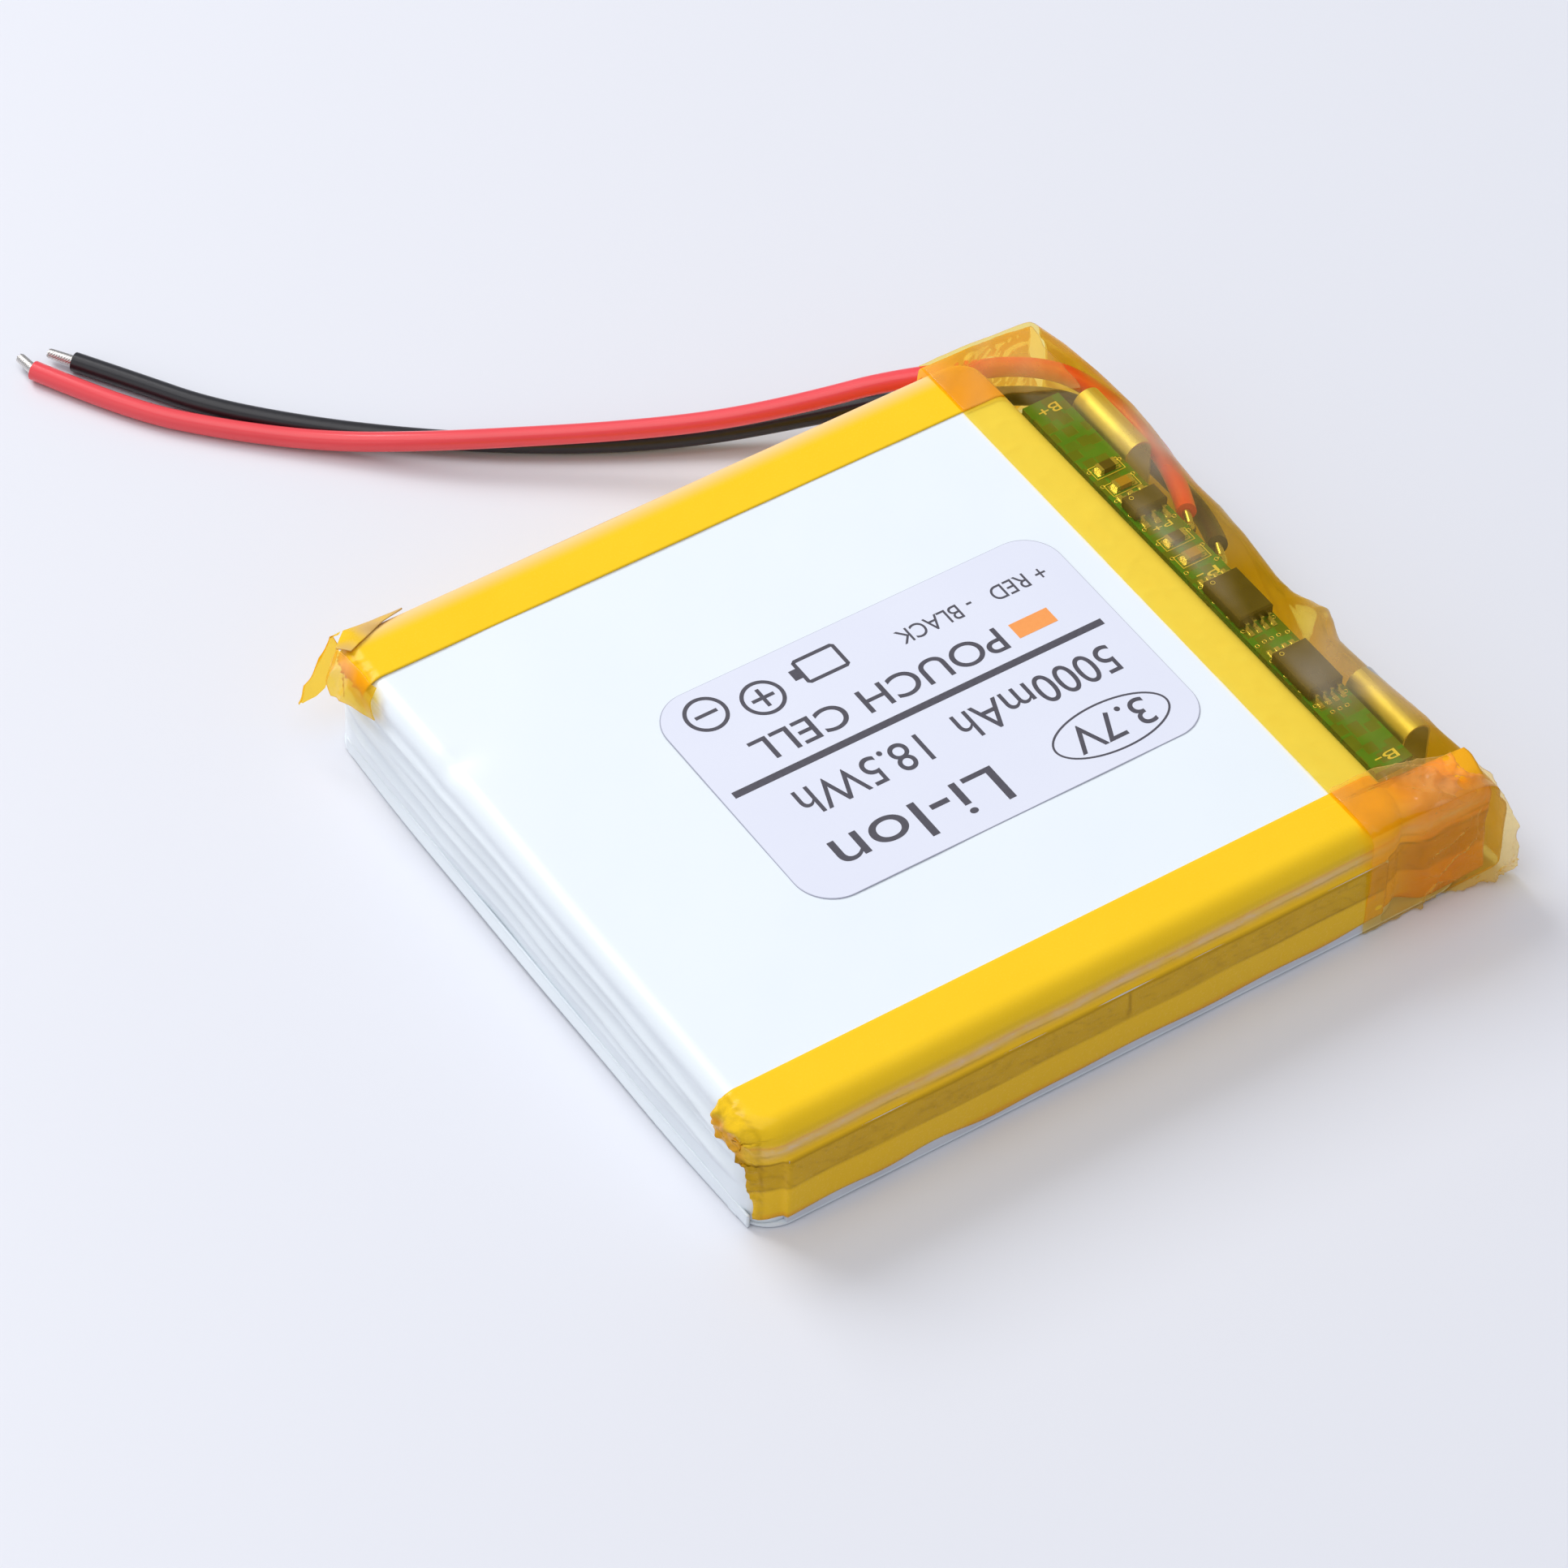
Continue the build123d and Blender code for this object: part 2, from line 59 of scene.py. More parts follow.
class Slot(Enum):
    """Material slots of the record, which the log names for each new piece."""

    LAMINATE = "pouch_laminate"
    TAPE = "polyimide_tape"
    FILM = "clear_film"
    LABEL = "printed_label"
    MASK = "board_mask"
    SOLDER = "solder"
    RED = "red_insulation"
    BLACK = "black_insulation"
    TINNED = "tinned_copper"


class Side(Enum):
    """Long side of the cell, by the sign of its X."""

    FRONT = 1
    BACK = -1


# ---- Shader and geometry graphs -----------------------------------------------------------
class Sock:
    """Output of a node, with arithmetic that adds Math nodes."""

    def __init__(self, graph: "Graph", socket: bpy.types.NodeSocket) -> None:
        """Keeps the graph and the socket."""
        self.graph = graph
        self.socket = socket

    def _math(self, operation: str, first: "Sock | float", second: "Sock | float") -> "Sock":
        """Adds one Math node.

        Args:
            operation: Math node operation.
            first: Upper input.
            second: Lower input.

        Returns:
            The node's output.
        """
        return self.graph.node("ShaderNodeMath", {"operation": operation},
                               {0: first, 1: second})

    def __add__(self, other: "Sock | float") -> "Sock":
        """Sum."""
        return self._math("ADD", self, other)

    __radd__ = __add__

    def __sub__(self, other: "Sock | float") -> "Sock":
        """Difference."""
        return self._math("SUBTRACT", self, other)

    def __rsub__(self, other: float) -> "Sock":
        """Difference from a number."""
        return self._math("SUBTRACT", other, self)

    def __mul__(self, other: "Sock | float") -> "Sock":
        """Product."""
        return self._math("MULTIPLY", self, other)

    __rmul__ = __mul__

    def clamp(self) -> "Sock":
        """Limits the value to 0..1."""
        return self.graph.node("ShaderNodeClamp", {}, {"Value": self})


class Graph:
    """A node tree that is built one node at a time."""

    def __init__(self, tree: bpy.types.NodeTree) -> None:
        """Keeps the tree."""
        self.tree = tree

    def node(self, kind: str, settings: dict | None = None, inputs: dict | None = None,
             output: int | str = 0) -> Sock | None:
        """Adds a node.

        Args:
            kind: Node type.
            settings: Attributes, set first; "stops" fills a colour ramp.
            inputs: Values or links by socket name or number.
            output: Socket that the result stands for.

        Returns:
            That output, or None on a node without outputs.
        """
        made = self.tree.nodes.new(kind)
        for key, value in (settings or {}).items():
            if key == "stops":
                self._fill_ramp(made.color_ramp, value)
            else:
                setattr(made, key, value)
        for key, value in (inputs or {}).items():
            if isinstance(value, Sock):
                self.tree.links.new(value.socket, made.inputs[key])
            else:
                made.inputs[key].default_value = value
        return Sock(self, made.outputs[output]) if len(made.outputs) else None

    @staticmethod
    def _fill_ramp(ramp: bpy.types.ColorRamp, stops: Sequence[tuple[float, float]]) -> None:
        """Sets the stops of a grey ramp, each a place and a level.

        Args:
            ramp: Ramp of the node.
            stops: Place and grey level of each stop.
        """
        while len(ramp.elements) < len(stops):
            ramp.elements.new(1.0)
        for element, (place, level) in zip(ramp.elements, stops):
            element.position = place
            element.color = (level, level, level, 1.0)

    def noise(self, where: Sock, per_mm: float, detail: float = 3.0) -> Sock:
        """Smooth noise of about per_mm features a millimetre."""
        return self.node("ShaderNodeTexNoise", {},
                         {"Vector": where, "Scale": per_mm / MM, "Detail": detail}, "Fac")

    def ramp(self, value: Sock, *stops: tuple[float, float]) -> Sock:
        """Grey colour ramp."""
        return self.node("ShaderNodeValToRGB", {"stops": stops}, {0: value})

    def blend(self, first: "Sock | Colour", second: "Sock | Colour",
              factor: "Sock | float") -> Sock:
        """Mixes two colours.

        Args:
            first: Colour at factor 0.
            second: Colour at factor 1.
            factor: Share of the second.

        Returns:
            The mixed colour.
        """
        colours = [c if isinstance(c, Sock) else (*c, 1.0) for c in (first, second)]
        return self.node("ShaderNodeMix", {"data_type": "RGBA"},
                         {0: factor, 6: colours[0], 7: colours[1]}, 2)

    def bump(self, height: Sock, strength: float, depth_mm: float) -> Sock:
        """Bumped normal."""
        return self.node("ShaderNodeBump", {},
                         {"Height": height, "Strength": strength, "Distance": depth_mm * MM})

    def paint(self, name: str) -> Sock:
        """A piece's own painted value."""
        return self.node("ShaderNodeAttribute", {"attribute_name": name}, {}, "Fac")


# ---- Finishes -----------------------------------------------------------------------------
@dataclass(frozen=True)
class Finish:
    """Opaque finish whose colour mottles into a second and whose relief is fine.

    Mottle and grain are features a millimetre, depth is the relief's in millimetres.
    """

    name: str
    colour: Colour
    second: Colour
    roughness: float = 0.4
    metallic: float = 0.0
    coat: float = 0.0
    mottle: float = 0.3
    grain: float = 6.0
    relief: float = 0.15
    depth: float = 0.03
    shine: float = 0.5
    uneven: ClassVar[float] = 0.16
    coat_roughness: ClassVar[float] = 0.08
    _made: ClassVar[dict[str, bpy.types.Material]] = {}

    def sockets(self, g: Graph, where: Sock) -> dict:
        """Sockets of the main shader.

        Args:
            g: Graph of the material.
            where: Object coordinates.

        Returns:
            Values and links by socket name.
        """
        mottle = g.noise(where, self.mottle)
        fine = g.noise(where, self.grain)
        return {
            "Base Color": g.blend(self.colour, self.second, mottle),
            "Roughness": (fine - 0.5) * self.uneven + self.roughness,
            "Metallic": self.metallic,
            "Coat Weight": self.coat,
            "Coat Roughness": self.coat_roughness,
            "Specular IOR Level": self.shine,
            "Normal": g.bump(fine, self.relief, self.depth),
        }

    def surface(self, g: Graph, where: Sock) -> Sock:
        """Shader of the surface."""
        return g.node("ShaderNodeBsdfPrincipled", {}, self.sockets(g, where))

    def material(self) -> bpy.types.Material:
        """Makes the material once.

        Returns:
            The material.
        """
        if self.name not in self._made:
            made = bpy.data.materials.new(self.name)
            made.use_nodes = True
            made.node_tree.nodes.clear()
            g = Graph(made.node_tree)
            where = g.node("ShaderNodeTexCoord", output="Object")
            g.node("ShaderNodeOutputMaterial", {}, {"Surface": self.surface(g, where)})
            self._made[self.name] = made
        return self._made[self.name]


@dataclass(frozen=True)
class TapeFinish(Finish):
    """Golden tape stuck down on pale laminate, with painted folds, shadows and highlights."""

    folded: Colour = (0.86, 0.36, 0.01)
    shadow: Colour = (0.40, 0.205, 0.0)
    # Pale colour of trapped air, which also serves as a painted highlight.
    haze_and_highlight: Colour = (0.86, 0.62, 0.44)

    def sockets(self, g: Graph, where: Sock) -> dict:
        """Adds folds, painted shadows, pale trapped air with painted highlights and crinkles to
        the plain finish.

        Args:
            g: Graph of the material.
            where: Object coordinates.

        Returns:
            Values and links by socket name.
        """
        plain = super().sockets(g, where)
        crinkle = g.noise(where, 1.1, 5.0)
        # Thin crease lines; in crumpled tape they are darkened towards the shadow colour, a
        # painted shade.
        crease = 1 - g.ramp((crinkle - 0.5) * 9.0 + 0.5, (0.0, 0.0), (0.42, 1.0), (0.5, 0.0),
                            (0.58, 1.0), (1.0, 0.0))
        colour = g.blend(plain["Base Color"], self.folded, g.paint("folded"))
        colour = g.blend(colour, self.haze_and_highlight, g.paint("haze_and_highlight"))
        colour = g.blend(colour, self.shadow, g.paint("shadow"))
        plain["Base Color"] = g.blend(colour, self.shadow, crease * g.paint("crumple") * 0.18)
        plain["Normal"] = g.bump(g.noise(where, 0.7, 2.0) + g.paint("crumple") * crinkle,
                                 0.3, 0.09)
        plain["Roughness"] = g.paint("haze_and_highlight") * 0.2 + plain["Roughness"]
        return plain


@dataclass(frozen=True)
class FilmFinish(Finish):
    """Clear golden film: tinted light through it, gloss and a little haze."""

    tint: Colour = (1.0, 0.9, 0.46)
    body: float = 0.1
    veil: float = 0.17
    glow: float = 0.4
    pale: Colour = (0.98, 0.84, 0.62)
    edge_gloss: float = 0.8
    cloud: float = 0.05
    tuck: float = 0.4

    def surface(self, g: Graph, where: Sock) -> Sock:
        """Tinted clear shader under a glossy one.

        Args:
            g: Graph of the material.
            where: Object coordinates.

        Returns:
            The mixed shader.
        """
        face = g.node("ShaderNodeBsdfPrincipled", {}, self.sockets(g, where))
        through = g.node("ShaderNodeBsdfTranslucent", {}, {"Color": (*self.colour, 1.0)})
        gloss = g.node("ShaderNodeMixShader", {}, {0: self.glow, 1: face, 2: through})
        clear = g.node("ShaderNodeBsdfTransparent", {}, {"Color": (*self.tint, 1.0)})
        rim = g.node("ShaderNodeLayerWeight", {}, {"Blend": 0.18}, "Fresnel")
        cloud = g.ramp(g.noise(where, 0.5, 4.0), (0.45, 0.0), (0.8, 1.0))
        share = (rim * self.edge_gloss + cloud * self.cloud + g.paint("haze_and_highlight") * self.veil
                 + g.paint("tucked") * self.tuck + self.body).clamp()
        share = share * (1 - g.paint("lining"))
        return g.node("ShaderNodeMixShader", {}, {0: share, 1: clear, 2: gloss})

    def sockets(self, g: Graph, where: Sock) -> dict:
        """Adds soft crinkles to the plain finish.

        Args:
            g: Graph of the material.
            where: Object coordinates.

        Returns:
            Values and links by socket name.
        """
        plain = super().sockets(g, where)
        plain["Base Color"] = g.blend(plain["Base Color"], self.pale, g.paint("haze_and_highlight"))
        plain["Normal"] = g.bump(g.noise(where, 0.6, 2.0), 0.3, 0.06)
        return plain


@dataclass(frozen=True)
class BoardFinish(Finish):
    """Green mask over copper areas and tracks."""

    copper: Colour = (0.05, 0.26, 0.10)
    pitch: float = 1.1

    def sockets(self, g: Graph, where: Sock) -> dict:
        """Adds copper areas under the mask.

        Args:
            g: Graph of the material.
            where: Object coordinates.

        Returns:
            Values and links by socket name.
        """
        plain = super().sockets(g, where)
        cells = g.node("ShaderNodeTexVoronoi", {"distance": "CHEBYCHEV", "feature": "F1"},
                       {"Vector": where, "Scale": 1.0 / (self.pitch * MM), "Randomness": 0.8},
                       "Distance")
        tracks = g.ramp(cells, (0.40, 0.0), (0.46, 1.0))
        plain["Base Color"] = g.blend(plain["Base Color"], self.copper, tracks)
        plain["Normal"] = g.bump(tracks, 0.4, 0.04)
        return plain


@dataclass(frozen=True)
class LayerFinish(Finish):
    """Edge of thin layers, striped along Z."""

    pitch: float = 0.09

    def sockets(self, g: Graph, where: Sock) -> dict:
        """Adds the stripes.

        Args:
            g: Graph of the material.
            where: Object coordinates.

        Returns:
            Values and links by socket name.
        """
        plain = super().sockets(g, where)
        wave = g.node("ShaderNodeTexWave", {"bands_direction": "Z"},
                      {"Vector": where, "Scale": 0.314 / (self.pitch * MM), "Distortion": 0.4},
                      "Fac")
        plain["Base Color"] = g.blend(plain["Base Color"], self.second, wave)
        plain["Normal"] = g.bump(wave, 0.3, 0.02)
        return plain


@dataclass(frozen=True)
class BrushedFinish(Finish):
    """Rolled metal with fine lines along Y."""

    def sockets(self, g: Graph, where: Sock) -> dict:
        """Stretches the relief into lines.

        Args:
            g: Graph of the material.
            where: Object coordinates.

        Returns:
            Values and links by socket name.
        """
        plain = super().sockets(g, where)
        drawn = g.node("ShaderNodeMapping", {}, {"Vector": where, "Scale": (14.0, 0.7, 14.0)})
        lines = g.noise(drawn, 1.2, 5.0)
        plain["Roughness"] = lines * 0.22 + (self.roughness - 0.1)
        plain["Normal"] = g.bump(lines, self.relief, self.depth)
        return plain


LAMINATE = Finish("white_laminate", (0.85, 0.905, 0.945), (0.82, 0.88, 0.93), 0.32, 0.0, 0.25,
                  0.12, 9.0, 0.05, 0.01)
LAMINATE_EDGE = Finish("laminate_cut_edge", (0.74, 0.77, 0.84), (0.62, 0.65, 0.72), 0.34, 0.0,
                       0.3, 0.5, 7.0, 0.12, 0.02)
TAPE = TapeFinish("golden_tape", (0.98, 0.625, 0.022), (0.95, 0.585, 0.014), 0.26, 0.0, 0.08,
                  0.15, 5.0, shine=0.10)
LOOSE = FilmFinish("loose_tape", (1.0, 0.62, 0.02), (0.98, 0.52, 0.015), 0.2, 0.0, 0.2,
                   0.4, 5.0, tint=(1.04, 0.92, 0.36), body=0.34, veil=0.1)
FILM = FilmFinish("golden_film", (1.0, 0.68, 0.06), (0.98, 0.62, 0.04), 0.12, 0.0, 0.3,
                  0.15, 5.0, tint=(1.01, 0.938, 0.548), body=0.03, veil=0.24)
WRAP = FilmFinish("golden_wrap", (1.0, 0.73, 0.18), (1.0, 0.62, 0.11), 0.14, 0.0, 0.3,
                  0.2, 5.0, tint=(1.055, 0.985, 0.74), body=0.22, veil=0.2,
                  pale=(1.0, 0.72, 0.36))
PAPER = Finish("label_paper", (0.78, 0.80, 0.90), (0.74, 0.76, 0.88), 0.42, 0.0, 0.15,
               0.1, 12.0, 0.05, 0.01)
INK = Finish("grey_ink", (0.055, 0.05, 0.065), (0.09, 0.085, 0.11), 0.5, 0.0, 0.0, 3.0, 14.0)
ORANGE_INK = Finish("orange_ink", (0.95, 0.36, 0.09), (0.90, 0.32, 0.07), 0.5, 0.0, 0.0, 3.0)
EDGE_INK = Finish("label_edge", (0.42, 0.43, 0.52), (0.36, 0.37, 0.46), 0.5, 0.0, 0.0, 3.0)
RED_PVC = Finish("red_pvc", (0.86, 0.06, 0.075), (0.82, 0.05, 0.065), 0.36, 0.0, 0.35,
                 0.2, 2.5, 0.10, 0.02)
BLACK_PVC = Finish("black_pvc", (0.008, 0.007, 0.010), (0.013, 0.012, 0.016), 0.34, 0.0, 0.1,
                   0.2, 2.5, 0.05, 0.01)
TINNED = Finish("tinned_copper", (0.72, 0.70, 0.68), (0.62, 0.58, 0.54), 0.28, 1.0, 0.0,
                1.5, 9.0)
SOLDER = Finish("bright_solder", (0.80, 0.79, 0.76), (0.66, 0.64, 0.60), 0.25, 1.0, 0.0,
                1.2, 6.0, 0.25, 0.04)
NICKEL = BrushedFinish("nickel_strip", (0.74, 0.71, 0.66), (0.66, 0.63, 0.58), 0.5, 1.0)
ALUMINIUM = BrushedFinish("aluminium_strip", (0.84, 0.85, 0.86), (0.76, 0.77, 0.79), 0.5, 1.0)
COPPER = BrushedFinish("copper_foil", (0.85, 0.45, 0.26), (0.75, 0.36, 0.2), 0.30, 1.0)
MOULDED = Finish("moulded_epoxy", (0.05, 0.044, 0.042), (0.07, 0.062, 0.058), 0.5, 0.0, 0.0,
                 0.8, 9.0, 0.3, 0.03)
CERAMIC = Finish("tan_ceramic", (0.42, 0.29, 0.16), (0.36, 0.24, 0.13), 0.45, 0.0, 0.2, 0.8, 9.0)
MASK = BoardFinish("green_mask", (0.085, 0.17, 0.06), (0.10, 0.20, 0.07), 0.24, 0.0, 0.5,
                   0.4, 5.0)
PAINT = Finish("board_print", (0.85, 0.83, 0.55), (0.78, 0.75, 0.45), 0.5, 0.0, 0.0, 2.0, 9.0)
SEALANT = Finish("milky_sealant", (0.78, 0.77, 0.68), (0.70, 0.69, 0.60), 0.4)
INSULATOR = Finish("insulating_paper", (0.74, 0.76, 0.66), (0.66, 0.68, 0.58), 0.7)
FOAM = Finish("closed_cell_foam", (0.80, 0.76, 0.60), (0.72, 0.68, 0.52), 0.9, 0.0, 0.0,
              1.5, 4.0, 0.6, 0.15)
ANODE = LayerFinish("anode_coating", (0.02, 0.02, 0.024), (0.10, 0.06, 0.04), 0.7)
CATHODE = LayerFinish("cathode_coating", (0.06, 0.06, 0.07), (0.22, 0.22, 0.24), 0.7)
SEPARATOR = LayerFinish("separator_film", (0.86, 0.86, 0.84), (0.70, 0.70, 0.70), 0.5)
BINDING = Finish("binding_tape", (0.05, 0.22, 0.09), (0.04, 0.18, 0.07), 0.4)
FLOOR = Finish("pale_floor", (0.775, 0.785, 0.84), (0.76, 0.77, 0.825), 0.34, 0.0, 0.0,
               0.01, 0.02, 0.01, 0.01)

CAD_FINISHES: dict[Finish, tuple[str, ...]] = {
    LAMINATE: ("pouch_cover", "top_seal"),
    LAMINATE_EDGE: ("side_seal_front", "side_seal_back"),
    ANODE: ("anode_sheets",),
    CATHODE: ("cathode_sheets",),
    SEPARATOR: ("separators",),
    BINDING: ("stack_tapes",),
    COPPER: ("anode_foil_tails",),
    ALUMINIUM: ("cathode_foil_tails", "positive_tab"),
    NICKEL: ("negative_tab", "tab_weld_plates"),
    SEALANT: ("positive_tab_sealant", "negative_tab_sealant"),
    INSULATOR: ("end_insulator",),
    FOAM: ("foam_strip",),
    MASK: ("protection_board",),
    SOLDER: ("board_pads", "protection_ic_legs", "mosfet_left_legs", "mosfet_right_legs",
             "chip_terminals", "solder_joints"),
    MOULDED: ("protection_ic", "mosfet_left", "mosfet_right", "chip_resistors"),
    CERAMIC: ("chip_capacitors",),
    TINNED: ("red_strands", "black_strands"),
}


# ---- Shapes -------------------------------------------------------------------------------
def node_box(node: str) -> tuple[np.ndarray, np.ndarray]:
    """Corners of a CAD node.

    Args:
        node: Its name.

    Returns:
        Lowest and highest corner in millimetres.
    """
    low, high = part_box(node)
    return np.array(low) / MM, np.array(high) / MM


@dataclass(frozen=True)
class Relief:
    """Smooth random heights of about one unit, a sum of waves in seeded directions."""

    wavelength: float
    seed: int
    waves: int = 12

    def at(self, points: np.ndarray) -> np.ndarray:
        """Heights of the sum of waves.

        Args:
            points: Places, last axis X, Y, Z.

        Returns:
            Height at each place.
        """
        draw = np.random.default_rng(self.seed)
        heading = draw.normal(size=(self.waves, 3))
        heading /= np.linalg.norm(heading, axis=1, keepdims=True)
        length = self.wavelength * draw.uniform(0.6, 1.6, (self.waves, 1))
        start = draw.uniform(0, 2 * math.pi, self.waves)
        phase = points @ (heading * 2 * math.pi / length).T + start
        return np.sin(phase).sum(axis=-1) * math.sqrt(2 / self.waves)

    def creases(self, points: np.ndarray, sharp: float = 2.0) -> np.ndarray:
        """Narrow ridges, 0..1, where the smooth heights cross zero."""
        return np.clip(1 - np.abs(self.at(points)), 0, 1) ** sharp


def bell(value: np.ndarray, middle: float, width: float) -> np.ndarray:
    """Soft hump of height 1."""
    return np.exp(-((value - middle) / width) ** 2)


def ease(value: np.ndarray, start: float, end: float) -> np.ndarray:
    """Smooth step from 0 at start to 1 at end."""
    share = np.clip((value - start) / (end - start), 0, 1)
    return share * share * (3 - 2 * share)


def run_along(line: np.ndarray) -> np.ndarray:
    """Distance from the start of a line to each of its points."""
    return np.r_[0, np.cumsum(np.linalg.norm(np.diff(line, axis=0), axis=1))]


def points_at(places: np.ndarray, known: np.ndarray, line: np.ndarray) -> np.ndarray:
    """Points of a line at the given places, from the place of each of its points."""
    return np.stack([np.interp(places, known, column) for column in line.T], 1)


def rounded(corners: Sequence[tuple[float, float]], count: int, rounds: int = 3) -> np.ndarray:
    """Evenly spaced points on a polyline whose corners are cut round.

    Args:
        corners: The polyline.
        count: Number of points.
        rounds: How often the corners are cut.

    Returns:
        The points.
    """
    line = np.array(corners, float)
    for _ in range(rounds):
        near = line[:-1] * 0.75 + line[1:] * 0.25
        far = line[:-1] * 0.25 + line[1:] * 0.75
        line = np.vstack([line[:1], np.stack([near, far], 1).reshape(-1, 2), line[-1:]])
    run = run_along(line)
    return points_at(np.linspace(0, run[-1], count), run, line)


@dataclass(frozen=True)
class CellForm:
    """Outer form of the taped cell body, as a distance field in millimetres."""

    corner: float = 2.5
    edge: float = 1.5
    flap_round: float = 0.35

    def distance(self, p: np.ndarray) -> np.ndarray:
        """Signed distance from the drawn cup and its folded side seals.

        Args:
            p: Points, last axis X, Y, Z.

        Returns:
            Distances, positive outside.
        """
        low, high = node_box("pouch_cup")
        flap_low, flap_high = node_box("side_seal_front")
        mid, half = (low[1] + high[1]) / 2, (high[1] - low[1]) / 2
        side = np.stack([np.abs(p[..., 0]) - high[0] + self.corner,
                         np.abs(p[..., 1] - mid) - half + self.corner], -1)
        flat = (np.linalg.norm(np.maximum(side, 0), axis=-1)
                + np.minimum(side.max(axis=-1), 0) - self.corner)
        rim = np.stack([flat + self.edge, p[..., 2] - high[2] + self.edge], -1)
        cup = (np.linalg.norm(np.maximum(rim, 0), axis=-1)
               + np.minimum(rim.max(axis=-1), 0) - self.edge)
        flap_mid, flap_half = (flap_low[1] + flap_high[1]) / 2, (flap_high[1] - flap_low[1]) / 2
        plate = np.stack([np.abs(p[..., 0]) - flap_high[0],
                          np.abs(p[..., 1] - flap_mid) - flap_half,
                          p[..., 2] - flap_high[2]], -1)
        flap = (np.linalg.norm(np.maximum(plate, 0), axis=-1)
                + np.minimum(plate.max(axis=-1), 0))
        mix = np.clip(0.5 + 0.5 * (flap - cup) / self.flap_round, 0, 1)
        return flap * (1 - mix) + cup * mix - self.flap_round * mix * (1 - mix)

    def press(self, p: np.ndarray, lift: np.ndarray | float, rounds: int = 4) -> np.ndarray:
        """Moves points along the field until they lie at lift above the body.

        Args:
            p: Points near the surface.
            lift: Height above it.
            rounds: Number of steps.

        Returns:
            The moved points.
        """
        step = 0.01
        moved = p.copy()
        for _ in range(rounds):
            here = self.distance(moved)
            slope = np.stack([(self.distance(moved + step * axis) - here) / step
                              for axis in np.eye(3)], -1)
            slope /= np.maximum(np.linalg.norm(slope, axis=-1, keepdims=True), 1e-6)
            moved = moved - slope * (here - lift)[..., None]
        return moved


def link(name: str, data: bpy.types.ID) -> Piece:
    """Makes an object of the data and adds it to the scene.

    Args:
        name: Name of the object.
        data: Mesh, curve, light or camera data.

    Returns:
        The object.
    """
    made = bpy.data.objects.new(name, data)
    bpy.context.scene.collection.objects.link(made)
    return made


def as_object(name: str, vertices: np.ndarray, faces: list, finish: Finish,
              paints: dict[str, np.ndarray] | None = None) -> Piece:
    """Makes a smooth-shaded mesh object.

    Args:
        name: Name of the piece.
        vertices: Corners in millimetres.
        faces: Corner numbers of each face.
        finish: Finish of the piece.
        paints: Painted values at the corners, by name.

    Returns:
        The object.
    """
    mesh = bpy.data.meshes.new(name)
    mesh.from_pydata((vertices * MM).tolist(), [], faces)
    mesh.shade_smooth()
    for key, values in (paints or {}).items():
        mesh.attributes.new(key, "FLOAT", "POINT").data.foreach_set("value", values.ravel())
    mesh.materials.append(finish.material())
    return link(name, mesh)


def prism(name: str, bottom: np.ndarray, top: np.ndarray, finish: Finish) -> Piece:
    """Closed prism between two rings.

    Args:
        name: Name of the piece.
        bottom: Points of the first ring.
        top: As many points of the second.
        finish: Finish of the piece.

    Returns:
        The object.
    """
    count = len(bottom)
    faces = [(i, (i + 1) % count, (i + 1) % count + count, i + count) for i in range(count)]
    faces += [tuple(reversed(range(count))), tuple(range(count, 2 * count))]
    return as_object(name, np.concatenate([bottom, top]), faces, finish)


def shell(name: str, outer: np.ndarray, thickness: float, finish: Finish,
          paints: dict[str, np.ndarray] | None = None, closed: bool = False,
          inside: Place = (0.0, -4.0, 4.0)) -> Piece:
    """Closed thin shell whose outer face is a grid of points.

    Args:
        name: Name of the piece.
        outer: Grid of points, rows by columns by 3.
        thickness: Wall thickness.
        finish: Finish of the piece.
        paints: Painted values on the grid, by name.
        closed: The columns run round and meet.
        inside: A point that the grid faces away from.

    Returns:
        The object.
    """
    rows, columns = outer.shape[:2]
    ring = np.concatenate([outer[:, -1:], outer, outer[:, :1]], 1) if closed else outer
    across = np.gradient(ring, axis=1)[:, 1:-1] if closed else np.gradient(ring, axis=1)
    normal = np.cross(np.gradient(outer, axis=0), across)
    normal /= np.maximum(np.linalg.norm(normal, axis=-1, keepdims=True), 1e-9)
    sign = 1.0 if ((outer - np.array(inside)) * normal).sum() > 0 else -1.0
    points = np.concatenate([outer.reshape(-1, 3),
                             (outer - normal * sign * thickness).reshape(-1, 3)])
    index = np.arange(rows * columns).reshape(rows, columns)
    if closed:
        index = np.concatenate([index, index[:, :1]], 1)
    far = index + rows * columns
    quads = [np.stack([index[:-1, :-1], index[1:, :-1], index[1:, 1:], index[:-1, 1:]], -1),
             np.stack([far[:-1, :-1], far[:-1, 1:], far[1:, 1:], far[1:, :-1]], -1),
             np.stack([index[0, :-1], index[0, 1:], far[0, 1:], far[0, :-1]], -1),
             np.stack([index[-1, 1:], index[-1, :-1], far[-1, :-1], far[-1, 1:]], -1)]
    if not closed:
        quads += [np.stack([index[1:, 0], index[:-1, 0], far[:-1, 0], far[1:, 0]], -1),
                  np.stack([index[:-1, -1], index[1:, -1], far[1:, -1], far[:-1, -1]], -1)]
    faces = np.concatenate([quad.reshape(-1, 4) for quad in quads])
    if sign < 0:
        faces = faces[:, ::-1]
    both = {key: np.concatenate([value.ravel()] * 2) for key, value in (paints or {}).items()}
    both["lining"] = np.repeat([0.0, 1.0], rows * columns)
    return as_object(name, points, faces.tolist(), finish, both)


def plain_mesh(made: Piece, name: str) -> Piece:
    """Turns an object's evaluated shape into a plain mesh object and removes the first.

    Args:
        made: Object with modifiers, text or curve.
        name: Name of the new object.

    Returns:
        The mesh object.
    """
    bpy.context.view_layer.update()
    graph = bpy.context.evaluated_depsgraph_get()
    result = link(name, bpy.data.meshes.new_from_object(made.evaluated_get(graph)))
    bpy.data.objects.remove(made)
    return result


